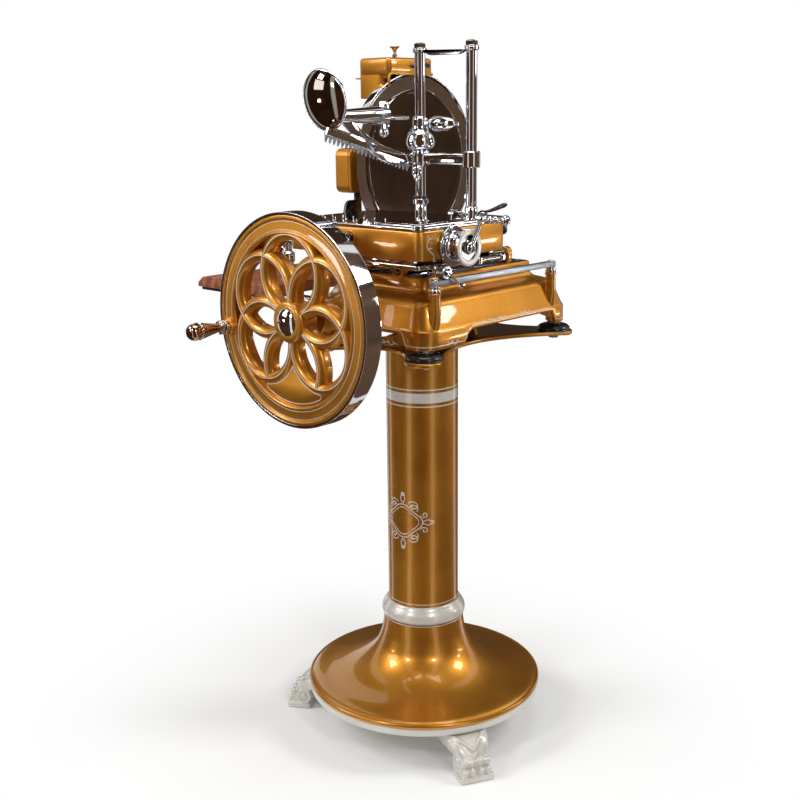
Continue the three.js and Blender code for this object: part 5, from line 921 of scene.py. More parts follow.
@dataclass
class Flywheel:
    """The hand wheel: rim, six petals of ribs, fan web, hub, chrome band and turned grip."""

    x: float = 2.0
    z: float = 872.0
    front: float = -340.0
    radius: float = 185.7
    band: float = 5.0
    rim_width: float = 33.0
    rib_width: float = 22.0
    rib_orbit: float = 80.3
    rib_radius: float = 68.1
    grip_angle: float = 189.0
    grip_orbit: float = 163.0

    def build(self, shop: Workshop) -> None:
        """Makes the wheel's pieces."""
        place = (self.x, self.front, self.z)
        rows = [
            ("flywheel_rim", self.rim(), [Coat.GOLD], ["flywheel"], 35),
            ("flywheel_petal_ribs", self.ribs(), [Coat.GOLD, Coat.PEARL], [], 35),
            ("flywheel_fan_web", front_plate(self.fan(), 6, 15, 0.8), [Coat.GOLD], [], 32),
            ("flywheel_hub", self.hub(), [Coat.GOLD, Coat.CHROME], [], 32),
            ("flywheel_pinstripes", self.stripes(), [Coat.PEARL], [], 60),
            ("flywheel_band_polished", self.chrome_band(), [Coat.CHROME], ["flywheel_band"], 32),
            ("main_shaft_turned", self.shaft(), [Coat.CHROME, Coat.STEEL], ["main_shaft"], 32)]
        for name, form, coats, replaces, sharp in rows:
            shop.build(name, "flywheel", form.moved(*place), coats, replaces, sharp)
        shop.build("flywheel_grip_turned", "flywheel_grip", self.grip().moved(*place),
                   [Coat.BRONZED, Coat.CHROME], ["flywheel_grip"])
        shop.dress(Coat.IRON, "crown_gear")

    @property
    def outer(self) -> float:
        """Radius of the casting inside the chrome band."""
        return self.radius - self.band - GAP

    @property
    def inner(self) -> float:
        """Inner radius of the rim."""
        return self.outer - self.rim_width

    def rim(self) -> Form:
        """The rim: a flat letterless band between two raised beads, turned about the axis."""
        i, o = self.inner, self.outer
        section = [(i, 36), (i, 5), (i + 0.6, 2.4), (i + 3, 0), (i + 5.4, 0.4), (i + 6.8, 2.6),
                   (o - 7.6, 2.6), (o - 6, 0.4), (o - 3, 0), (o, 0.6), (o, 36)]
        profile = fillet(section, [1, 1, 1.2, 1.4, 1.2, 0.8, 0.8, 1.2, 1.4, 0.5, 1], 5)
        return revolve(profile, 240, hollow=True).laid("Y")

    def rib_profile(self) -> np.ndarray:
        """Section of a rib about its own ring's axis: a round ridge with straight, deep sides."""
        o, h = self.rib_radius, self.rib_width / 2
        crest = smooth_path([(o - h, 13), (o - h + 0.6, 8.6), (o - h * 0.62, 3.9), (o - h * 0.3, 1.5),
                             (o, 0.8), (o + h * 0.3, 1.5), (o + h * 0.62, 3.9), (o + h - 0.6, 8.6),
                             (o + h, 13)], 30)
        return np.vstack([[(o - h + 1.6, 27)], crest, [(o + h - 1.6, 27)]])[::-1]

    def rings(self, profile: np.ndarray) -> Form:
        """The six rings that a section makes; the lowest one is only the arc above the fan."""
        parts = []
        for index in range(6):
            half = math.radians(114) if index == 4 else math.pi
            x, z = polar(self.rib_orbit, 30 + 60 * index)
            ring = revolve(profile, 132, hollow=True, start=-half, end=half)
            parts.append(ring.laid("Y").moved(x, 0, z))
        return joined(*parts)

    def ribs(self) -> Form:
        """Ring ribs whose overlaps draw six petals, with a pearl line along every crest."""
        o = self.rib_radius
        line = np.array([(o + 0.8, 1.6), (o + 0.7, 0.62), (o - 0.7, 0.62), (o - 0.8, 1.6)])
        return joined(self.rings(self.rib_profile()), self.rings(line).finished(1))

    def fan(self, inward: float = 0.0) -> np.ndarray:
        """Outline of the fan in (x, z): two rib arcs down from the hub and the rim's arc below."""
        left = arc(self.rib_radius + inward, 40, -147, 60) + polar(self.rib_orbit, 210)
        left = left[(left[:, 0] < -0.2) & (left[:, 1] < -16 - 4 * inward)]
        left = left[np.linalg.norm(left, axis=1) < self.inner - 4 - 0.45 * inward]
        end = math.degrees(math.atan2(left[-1, 1], left[-1, 0]))
        below = arc(self.inner + 2 - 0.6 * inward, end, -180 - end, 30)[1:-1]
        return np.vstack([left, below, (left * (-1, 1))[::-1]])

    def hub(self) -> Form:
        """A stepped hub, and the boss under the grip with the grip's stud and collar."""
        steps = smooth_profile([(22, -6), (28, -6), (32.4, -5.2), (35, -3), (36, 0), (35, 8), (33, 36)],
                               50)
        hub = revolve([(12.4, -4.5)] + steps + [(12.4, 36)], 96, hollow=True).laid("Y")
        boss = revolve(smooth_profile([(0.1, -6), (12, -6), (14.6, -4), (15.4, 0), (15.4, 18), (0.1, 18)],
                                      40), 64)
        stud = rod(5, 84, 1).moved(0, 0, -84)
        ring = [(AXIS, -14.3), (11.6, -14.3), (12, -12), (12, -8), (10.4, -6.1), (AXIS, -6.1)]
        collar = revolve(fillet(ring, [0, 1, 1, 1, 1, 0], 4, closed=False), 48)
        x, z = polar(self.grip_orbit, self.grip_angle)
        return joined(hub, joined(boss, stud.finished(1), collar.finished(1)).laid("Y").moved(x, 0, z))

    def stripes(self) -> Form:
        """Pearl lines: two circles on the rim and one that follows the fan's edge."""
        lines = [(circle(self.inner + 9, 240), 2.4, 0.9), (circle(self.outer - 9.8, 240), 2.4, 0.9),
                 (self.fan(10.5), 5.9, 1.5)]
        return joined(*[ribbon(np.insert(line, 1, depth, 1), width, 0.25, (0, -1, 0), closed=True)
                        for line, depth, width in lines])

    def chrome_band(self) -> Form:
        """The polished tyre: a plain cylinder with small round edges."""
        r, b = self.radius, self.band
        profile = fillet([(r - b, 0.4), (r - 0.2, 0.0), (r, 1.2), (r, 34.8), (r - 0.2, 36),
                          (r - b, 35.6)], [0.3, 0.8, 0.8, 0.8, 0.8, 0.3], 4)
        return revolve(profile, 256, hollow=True).laid("Y")

    def shaft(self) -> Form:
        """The domed chrome cap in front and the ground shaft behind it."""
        dome = [(0.05, -13.8), (6, -13.5), (12, -12.4), (18, -10.2), (22, -7.8), (23.4, -6.6),
                (23.5, -6.2)]
        cap = revolve(smooth_profile(dome, 40) + [(12, -6.2)], 96)
        return joined(cap, rod(12, 484, 1.5).moved(0, 0, -6).finished(1)).laid("Y")

    def grip(self) -> Form:
        """The turned grip: a collar, a waist, a long swell with two rings and a bulb end."""
        length, girth = 75.7, 14.0
        shares = [(0.62, 0), (0.8, 0.02), (0.86, 0.06), (0.8, 0.11), (0.64, 0.14), (0.6, 0.2),
                  (0.7, 0.32), (0.88, 0.5), (1.02, 0.64), (1.1, 0.76), (1.08, 0.87), (0.92, 0.95),
                  (0.6, 0.995), (0.02, 1.0)]
        outer = smooth_profile([(girth * a, -length * b) for a, b in shares], 90)
        body = revolve(outer[::-1] + [(5.2, 0)], 72)
        beads = [torus(r - 0.4, -share * length, 0.9)
                 for share, r in ((0.075, 12.4), (0.115, 11.6), (0.70, 15.0), (0.735, 15.3))]
        x, z = polar(self.grip_orbit, self.grip_angle)
        return joined(body, joined(*beads).finished(1)).laid("Y").moved(x, -14.6, z)


@dataclass
class DriveTrain:
    """Gears, cross shaft and chain inside the base and the chain case."""

    def build(self, shop: Workshop) -> None:
        """Dresses the hidden drive, which keeps its CAD solids."""
        shop.dress(Coat.IRON, "bevel_pinion", "drive_sprocket")
        shop.dress(Coat.STEEL, "cross_shaft", "drive_chain", "blade_shaft")


# Knife, guard, chain case and sharpener


@dataclass
class KnifeUnit:
    """The round knife with its cover disc, the guard ring, the chain case and the sharpener."""

    plane: float = -150.0
    y: float = 154.0
    z: float = 1114.0
    radius: float = 172.0
    cover_radius: float = 147.0
    guard_radius: float = 178.0
    guard_back: float = -167.0
    guard_front: float = -149.0
    guard_arc: tuple = (-118.0, 150.0)
    case_right: float = -174.0
    case_left: float = -210.0
    cover_left: float = -216.0
    case_wall: float = 6.0
    box_left: float = -232.0
    box_right: float = -149.0
    box_front: float = 73.0
    box_back: float = 205.0
    box_bottom: float = 1242.0
    box_top: float = 1320.0
    ledge_z: float = 1289.0
    neck_x: float = -169.0
    knob: tuple = (-185.0, 130.0)

    def build(self, shop: Workshop) -> None:
        """Makes the knife unit's pieces."""
        shop.build("knife_ground", "blade", self.on_axis(self.knife()), [Coat.CHROME], ["blade"],
                   sharp=12)
        # the cover disc's chrome is darkened: painted dark reflection
        shop.build("knife_cover_polished", "blade", self.on_axis(self.cover()), [Coat.DARK_MIRROR],
                   ["blade_cover"], sharp=20)
        shop.build("guard_ring_chromed", "frame", self.on_axis(self.guard()), [Coat.CHROME],
                   ["blade_guard"], sharp=50)
        shop.build("chain_case_cast", "frame", self.case(), [Coat.GOLD, Coat.CHROME], ["chain_case"],
                   sharp=40)
        shop.build("chain_case_lid", "frame", self.lid(), [Coat.GOLD, Coat.CHROME], ["chain_cover"],
                   sharp=40)
        shop.build("sharpener_box_cast", "frame", self.sharpener(), [Coat.GOLD, Coat.BLACK],
                   ["sharpener_cover"], sharp=50)
        shop.build("sharpener_trumpet_knob", "sharpener_plunger", self.trumpet(), [Coat.BRONZED],
                   ["sharpener_knob"], sharp=50)
        shop.build("slice_deflector_enamelled", "frame", self.deflector(), [Coat.BLACK],
                   ["slice_deflector"])
        shop.dress(Coat.STONE, "sharpening_stone")

    def on_axis(self, form: Form) -> Form:
        """Lays a turned form along the knife's axle, its own height becoming X."""
        return form.laid("X").moved(0, self.y, self.z)

    def knife(self) -> Form:
        """Disc with a long bevel on its back, a small land at the edge and the recess for the cover."""
        p, r, c = self.plane, self.radius, self.cover_radius
        back = p - 6
        profile = [(12.3, -167.5), (30, -167.5), (31.2, -166.4), (38.4, back), (146, back), (154, back),
                   (166, back + 3), (171.4, p - 1.4), (r, p - 0.6), (r - 0.4, p - 0.1), (r - 9, p + 0.05),
                   (c + 4, p), (c + 0.5, p), (c, p - 0.5), (c, p - 3.5), (12.3, p - 3.5)]
        return revolve(profile, 220, hollow=True)

    def cover(self) -> Form:
        """Slightly domed disc with a rolled rim and one shallow turned groove."""
        floor, front, r = self.plane - 3.2, self.plane + 0.8, self.cover_radius - 1
        return revolve([(AXIS, floor), (r, floor), (r, front - 1.2), (r - 0.5, front - 0.4),
                        (r - 1.8, front), (r - 6, front), (r - 6.8, front - 0.5), (r - 8.6, front - 0.5),
                        (r - 9.4, front), (90, front + 0.3), (40, front + 0.5), (AXIS, front + 0.6)], 200)

    def guard(self) -> Form:
        """Angle section with soft corners carried round the rear of the knife."""
        r, back, front = self.guard_radius, self.guard_back, self.guard_front
        section = fillet([(r - 20, back), (r, back), (r, front), (r - 3, front), (r - 3, back + 3),
                          (r - 20, back + 3)], [1, 2.4, 1.4, 1.4, 1.5, 1], 5)
        start, end = (math.radians(a) for a in self.guard_arc)
        return revolve(section, 180, hollow=True, start=start, end=end)

    def outline(self, i: float) -> np.ndarray:
        """The case seen from the side, drawn in by i: an upright, its neck and the arm to the operator."""
        corners = [(112 + i, 829 + i), (196 - i, 829 + i), (196 - i, 1284 - i), (154 + i, 1284 - i),
                   (154 + i, 1147.7 - i), (-14 + i, 1147.7 - i), (-14 + i, 1061.7 + i),
                   (112 + i, 1061.7 + i)]
        return fillet(corners, [6, 6, 16, 10, 6, 15, 15, 6], 7)

    def case(self) -> Form:
        """Side wall, rim wall, bearing boss, guard pads and the foot that bolts to the base."""
        inside, mouth = self.case_right, self.case_left + 0.6
        wall = side_plate(self.outline(0.6), inside - self.case_wall, inside, 2.4)
        outer, inner = self.outline(0), self.outline(self.case_wall)
        rings = [(outer, mouth), (outer, inside - 5), (inner, inside - 5.5), (inner, mouth)]
        rim = loft(np.array([at_height(o, x) for o, x in rings]), closed=True).laid("X")
        boss = self.on_axis(tube(25.5, 17.3, 8, 1.5)).moved(inside - 1)
        pads = [self.on_axis(rod(6, 8, 0.8)).moved(inside - 1, *polar(164, a)) for a in (-90, 84)]
        profile = [(-177, 829), (-88, 829), (-88, 838), (-74, 892), (-80, 897), (-177, 897)]
        foot = front_plate(fillet(profile, [4, 0, 0, 0, 3, 8], 5), 112, 196, 3)
        bolts = [nut(7, 5, 0.8).moved(x, y, 896.6) for x in (-150, -110) for y in (126, 182)]
        return joined(wall, rim, boss, *pads, foot, joined(*bolts).finished(1))

    def lid(self) -> Form:
        """Flat lid with a soft edge and eight domed screws."""
        face = self.cover_left + 1.6
        sheet = side_plate(self.outline(0.4), face, self.case_left, 2.0)
        places = [(122, 843), (186, 843), (186, 960), (122, 960), (186, 1090), (-2, 1073), (-2, 1136),
                  (186, 1268)]
        screw = revolve([(4.6, 0), (4.6, 0.6), (4.0, 1.1), (2.4, 1.45), (AXIS, 1.6)],
                        24).laid("X").turned("Z", 180)
        return joined(sheet, *[screw.moved(face, y, z).finished(1) for y, z in places])

    def sharpener(self) -> Form:
        """Rounded box that steps in below the ledge, the ledge's lip, a side tab and a black thumb bar."""
        left, front, back, edge = self.box_left, self.box_front, self.box_back, 6.5
        n, r, z, low, high = self.neck_x, self.box_right, self.ledge_z, self.box_bottom, self.box_top
        levels = [(n, 1.5, low), (n, 0.3, low + 0.5), (n, 0, low + 2), (n, 0, z - 1.5), (r, 0.8, z - 1.5),
                  (r, 0, z - 0.4)]
        levels += [(r, edge * (1 - math.cos(a)), high - edge * (1 - math.sin(a)))
                   for a in np.linspace(0, math.pi / 2, 8)]
        rings = [at_height(round_rect(left + i, right - i, front + i, back - i, 10 - i * 0.5, 8), height)
                 for right, i, height in levels]
        lip = smooth_path([(r, 202, z), (r, 160, z), (r, 110, z), (r, 84, z), (r, 77, z - 2),
                           (r, 74.5, z - 9), (r, 74.5, z - 24)], 50)
        tab = box(left - 9.5, left + 4, front, front + 30, 1280, 1283, 1, 3)
        bar = sweep(smooth_path([(-146, 138, 1303), (-143, 146, 1304), (-142, 165, 1305),
                                 (-142, 186, 1305)], 24), circle(5.2, 20),
                    spread(24, [0, 0.12, 0.8, 0.95, 1], [0.5, 0.75, 1, 0.9, 0.4]))
        return joined(loft(np.array(rings)), sweep(lip, circle(2.6, 14), up=(1, 0, 0)), tab,
                      bar.finished(1))

    def trumpet(self) -> Form:
        """Spindle that flares into a trumpet-shaped knob with a hollow top."""
        flare = [(5, 1325), (3.4, 1328.5), (3.1, 1332), (4.6, 1336.5), (8.2, 1340.4), (10.3, 1341.9)]
        profile = [(AXIS, 1296.8), (5, 1296.8), (5, 1325)] + smooth_path(flare, 24).tolist()
        profile += [(10.5, 1342.3), (10.1, 1342.8), (9.2, 1342.6), (5, 1341.6), (AXIS, 1341.2)]
        return revolve(profile, 48).moved(*self.knob)

    def deflector(self) -> Form:
        """Black plate that guides the slice away from the back of the knife."""
        corners = [(-26, 1012), (24.4, 1012), (24.4, 1061.4), (7.6, 1061.4), (7.6, 1048), (-17.6, 1048)]
        return side_plate(fillet(corners, [1, 3, 3, 2, 2, 25], 10), -186, -180, 1.2)


# Receiving board


@dataclass
class Board:
    """The wooden board left of the knife, its carrier and the post that stops the slices."""

    left: float = -391.0
    right: float = -172.0
    front: float = -230.0
    back: float = 100.0
    top: float = 905.0
    thickness: float = 21.0
    bar_ys: tuple = (-180.0, 50.0)
    post: tuple = (-191.8, -166.0)

    def build(self, shop: Workshop) -> None:
        """Makes the board's pieces."""
        shop.build("board_oiled", "frame", self.plank(), [Coat.WOOD], ["receiving_board"])
        shop.build("board_carrier_bars", "frame", self.carrier(), [Coat.STEEL, Coat.RUBBER],
                   ["board_carrier"])
        shop.build("slice_post_chromed", "frame", self.stop_post(), [Coat.CHROME], ["slice_post"],
                   sharp=40)

    def plank(self) -> Form:
        """Plank with a slanting left end, drawn from the front; its edges are eased."""
        left, right, top = self.left, self.right, self.top
        low = top - self.thickness
        corners = [(left, low), (right, low), (right, top), (left + 16.8, top), (left, top - 12.6)]
        return front_plate(fillet(corners, [1.5, 1, 1, 3, 2], 4), self.front, self.back, 1.4)

    def carrier(self) -> Form:
        """Two flat bars in grooves, their tie and the rubber strip under the front edge."""
        low = self.top - self.thickness
        bars = [box(self.left + 50, -82, y - 11, y + 11, low - 4, low - 0.2, 0.6, 2) for y in self.bar_ys]
        tie = box(self.left + 50, self.left + 72, self.bar_ys[0], self.bar_ys[1], low - 7, low - 0.3, 0.8,
                  2)
        strip = box(self.left + 8, self.right - 20, self.front + 2, self.front + 30, low - 5.6, low - 0.1,
                    1.4, 3)
        screws = [nut(6, 3, 0.6).moved(self.left + 61, y, low - 10) for y in self.bar_ys]
        return joined(*bars, tie, *screws, strip.finished(1))

    def stop_post(self) -> Form:
        """Turned post with a collar and cap, and a thin crescent finger to its left."""
        side = fillet([(14.85, 0), (14.85, 4.4), (11, 6.6), (11, 35), (12.6, 36), (13.75, 40),
                       (13.75, 53), (12, 55), (8.8, 57.6), (8.8, 68), (10.4, 70), (10.4, 74)], 1.0, 4,
                      closed=False).tolist()
        turned = revolve([(AXIS, 0)] + side + [(8, 75.4), (AXIS, 76)], 48)
        path = smooth_path([(-6, -3, 59), (-20, -7, 58), (-36, -8, 60), (-50, -5, 64), (-60, 2, 69)], 30)
        widths = np.column_stack([np.full(30, 1.3), spread(30, [0, 0.5, 1], [6.5, 5.0, 1.2])])
        return joined(turned, sweep(path, circle(1.0, 12), widths)).moved(*self.post, self.top + GAP)


# Carriage


@dataclass
class Carriage:
    """The plate that slides on the guide rods, its roller bracket and the release lever."""

    left: float = -64.0
    right: float = 172.0
    front: float = -199.0
    back: float = 26.0
    bottom: float = 957.5
    thickness: float = 8.5
    roller_y: float = -150.0
    roller_z: float = 952.3

    def build(self, shop: Workshop) -> None:
        """Makes the carriage's pieces."""
        shop.build("carriage_plate_chromed", "carriage", self.plate(), [Coat.CHROME], ["carriage_plate"])
        shop.build("roller_bracket_chromed", "carriage", self.bracket(), [Coat.CHROME],
                   ["carriage_bracket"])
        shop.build("rail_roller_ground", "rail_roller", self.roller(), [Coat.STEEL], ["rail_roller"])
        shop.build("release_lever_chromed", "release_lever", self.lever(), [Coat.CHROME],
                   ["release_lever"], sharp=40)

    def plate(self) -> Form:
        """Plate, two ways, the slide lugs on the rods and the block that the feed screw turns in."""
        left, right, front, back, low = self.left, self.right, self.front, self.back, self.bottom
        top = low + self.thickness
        parts = [box(left, right, front, back, low, top, 2.0, 8.5)]
        parts += [box(left + 16, right - 16, y, y + 16, top - 0.3, 973.7, 0.6, 1.2)
                  for y in (front, back - 16)]
        for x in Base.rod_xs:
            lug = [(x - 8.4, 941), (x + 8.4, 941), (x + 8.4, low + GAP), (x - 8.4, low + GAP)]
            parts.append(front_plate(fillet(lug, [3, 3, 0, 0], 4), -134, -76, 0.8))
        parts.append(box(58, 84, -135, -109, top - 1, 986.4, 0.8, 3))
        parts.append(tube(13, 8.8, 26, 0.8).laid("X").moved(58, -122, 994))
        return joined(*parts)

    def bracket(self) -> Form:
        """Cheek plate, axle with its head, and the short lever below with a round knob."""
        y, z = self.roller_y, self.roller_z
        cheek = side_plate(fillet([(-12, z - 8), (12, z - 8), (16, 966), (-16, 966)], [5, 5, 3, 3], 5),
                           172.3, 178.3, 1.0)
        axle = rod(4, 27, 0.5, 32).laid("X").moved(173, 0, z)
        head = revolve([(AXIS, 0), (5.4, 0), (6.4, 1), (6.4, 2.8), (5.0, 4), (AXIS, 4.3)],
                       36).laid("X").moved(195.9, 0, z)
        path = smooth_path([(198, 0, z), (198, 12, z - 10), (198, 24, z - 20), (198, 32, z - 25)], 16)
        lever = sweep(path, circle(1, 16), np.column_stack([np.full(16, 2.0), np.linspace(3.6, 2.6, 16)]),
                      up=(1, 0, 0))
        knob = revolve([(AXIS, 0), (4.6, 0), (5.6, 1.2), (5.6, 6), (4, 7.6), (AXIS, 8)],
                       32).laid("X").moved(196, 32, z - 25)
        return joined(cheek, axle, head, lever, knob).moved(0, y)

    def roller(self) -> Form:
        """Wheel with chamfered rims and a shallow turned groove."""
        profile = [(4.1, 0), (10.6, 0), (12, 1.2), (12, 7), (11.5, 7.6), (11.5, 9.4), (12, 10),
                   (12, 15.8), (10.6, 17), (4.1, 17)]
        return revolve(profile, 72, hollow=True).laid("X").moved(178.5, self.roller_y, self.roller_z)

    def lever(self) -> Form:
        """Round hub, tapering arm away from the operator and a hexagonal knob."""
        hub = rod(7.5, 12, 1.4).moved(0, 0, -6)
        arm = revolve([(4.6, 0), (3.4, 20), (3.0, 42), (3.3, 60)], 28).laid("Y")
        grip = nut(7.1, 12, 1.4).laid("Y").moved(0, 60, 0)
        cap = rod(4.4, 2.4, 1.0, 28).laid("Y").moved(0, 71, 0)
        return joined(hub, arm, grip, cap).moved(179.8, -49.4, 961.75)


# Table


@dataclass
class Table:
    """The table casting with its chromed plate, spikes, fence clamp, knobs and the small black lever."""

    left: float = -146.0
    right: float = 180.0
    front: float = -203.0
    back: float = 30.0
    bottom: float = 974.0
    top: float = 1024.0
    corner: float = 16.0
    wall: float = 6.0
    front_knob: tuple = (17.0, -203.0, 1005.0)
    rear_knob: tuple = (165.0, 30.0, 1008.0)
    plate_high: float = 1029.3
    spike_rows: tuple = (-187.0, -155.0)
    lever_base: tuple = (131.0, 22.0, 1034.1)

    def build(self, shop: Workshop) -> None:
        """Makes the table's pieces."""
        shop.build("table_casting_lacquered", "table", self.casting(),
                   [Coat.GOLD, Coat.BLACK, Coat.PEARL], ["table_casting"], sharp=45)
        shop.build("table_plate_chromed", "table", self.plate(), [Coat.CHROME], ["table_plate"], sharp=35)
        shop.build("fence_lever_enamelled", "fence_lever", self.lever(), [Coat.BLACK], ["fence_lever"],
                   sharp=50)

    def casting(self) -> Form:
        """Open-bottomed box with a rolled lower edge, bearing bosses for the screw and two round knobs."""
        low, high, w = self.bottom, self.top, self.wall
        levels = [(-w, low + 2), (-w + 1, low + 0.5), (-1.4, low), (-0.4, low + 0.5), (0, low + 1.6),
                  (0, high - 3), (-0.9, high - 0.9), (-3, high), (-16, high), (-16, high - w),
                  (-w - 2, high - w), (-w, high - w - 2)]
        rings = [at_height(round_rect(self.left - o, self.right + o, self.front - o, self.back + o,
                                      self.corner + o, 9), z) for o, z in levels]
        knob = self.button(9.0, 13.0).laid("Y")
        ring = revolve([(8.5, 0), (12.5, 0), (12.5, 1.0), (11.6, 1.8), (9.6, 1.8), (8.5, 1.0)], 48,
                       hollow=True)
        x, y, z = self.front_knob
        front = knob.turned("Z", 180).moved(x, y + 1, z)
        ring = ring.laid("Y").turned("Z", 180).moved(x, y + 0.2, z)
        x, y, z = self.rear_knob
        rear = knob.moved(x, y - 1, z)
        bushes = [tube(13, 8.8, 7.5, 0.8).laid("X").moved(x, -122, 994)
                  for x in (self.left - 0.5, self.right - 7.5)]
        return joined(loft(np.array(rings), closed=True), front.finished(1), rear.finished(1), ring,
                      *bushes, self.tendrils().finished(2))

    def tendrils(self) -> Form:
        """Painted tendrils down the right side, just behind the front corner."""
        t = np.linspace(0, 1, 60)[:, None]
        stem = np.hstack([-184 + 3.2 * np.sin(TURN * 1.4 * t) + 16 * t ** 3, 1019 - 40 * t])
        leaves = [smooth_path([(-184 + x, z), (-178 + x, z + 3), (-173 + x, z + 1)], 16)
                  for x, z in ((2, 1008), (1, 992))]
        flat = [stem, stem[-1] - scroll(0.9, 4.5)[:, ::-1], *leaves]
        return joined(*[ribbon(np.insert(f, 0, self.right + 0.1, 1), 1.3, 0.25, (1, 0, 0)) for f in flat])

    @staticmethod
    def button(radius: float, depth: float) -> Form:
        """Low round knob with a neck, a rolled rim and a shallow dimple."""
        side = [(radius * a, depth * b)
                for a, b in ((0.55, 0), (0.55, 0.35), (1, 0.5), (1, 0.9), (0.7, 1))]
        profile = fillet(side, 1.6, 5, closed=False).tolist()
        return revolve([(AXIS, 0)] + profile + [(radius * 0.4, depth - 0.7), (AXIS, depth - 0.9)], 48)

    def plate(self) -> Form:
        """Polished plate with a raised lip at its right end, the spikes and the fence clamp."""
        low, high = self.top + GAP, self.plate_high
        front, back = self.front - 2, self.back + 2
        parts = [box(self.left, self.right, front, back, low, high, 1.2, 16),
                 box(72, self.right, front, back, high - 1, high + 4.5, 1.6, 16),
                 box(88, 164, -187, 14, high + 3.9, high + 4.75, 0.4, 5)]
        spike = revolve([(1.6, 0), (1.5, 1.5), (0.9, 5), (0.1, 8)], 14)
        parts += [spike.moved(-130 + 186 * (i + 0.5 + row / 2) / 7, y, high - 0.2)
                  for row, y in enumerate(self.spike_rows) for i in range(7)]
        parts.append(box(60, 102.5, -7, 7, high - 1, high + 2.5, 0.8, 3))
        parts.append(tube(7, 3.2, 14, 1.0, 40).laid("Y").moved(79.6, -7, high + 7.5))
        parts.append(rod(3.3, 16, 0.8, 28).laid("Y").moved(79.6, -8, high + 7.5))
        parts.append(box(79.6, 102.5, -2.3, 2.3, high, high + 10.2, 0.8, 2))
        parts.append(tube(9, 3, 6.5, 0.8, 40).moved(self.lever_base[0], self.lever_base[1], high + 3))
        return joined(*parts)

    def lever(self) -> Form:
        """Small black lever: a hub and a drop-shaped leaf that rises to the right."""
        hub = revolve([(AXIS, 0), (5.2, 0), (6, 0.8), (6, 6.4), (4.6, 7.5), (AXIS, 7.8)], 32)
        path = smooth_path([(0, 0, 5.0), (14, 0, 7.0), (30, 0, 12.0), (44, 0, 17.4), (55, 0, 21.0)], 30)
        stops = [0, 0.2, 0.5, 0.8, 0.95, 1]
        widths = np.stack([spread(30, stops, [2.6, 3.4, 5.6, 7.2, 5.0, 1.2]),
                           spread(30, stops, [2.2, 2.4, 3.6, 4.4, 3.2, 0.8])], -1)
        return joined(hub, sweep(path, circle(1.0, 28), widths)).moved(*self.lever_base)


# Feed screw and its crank


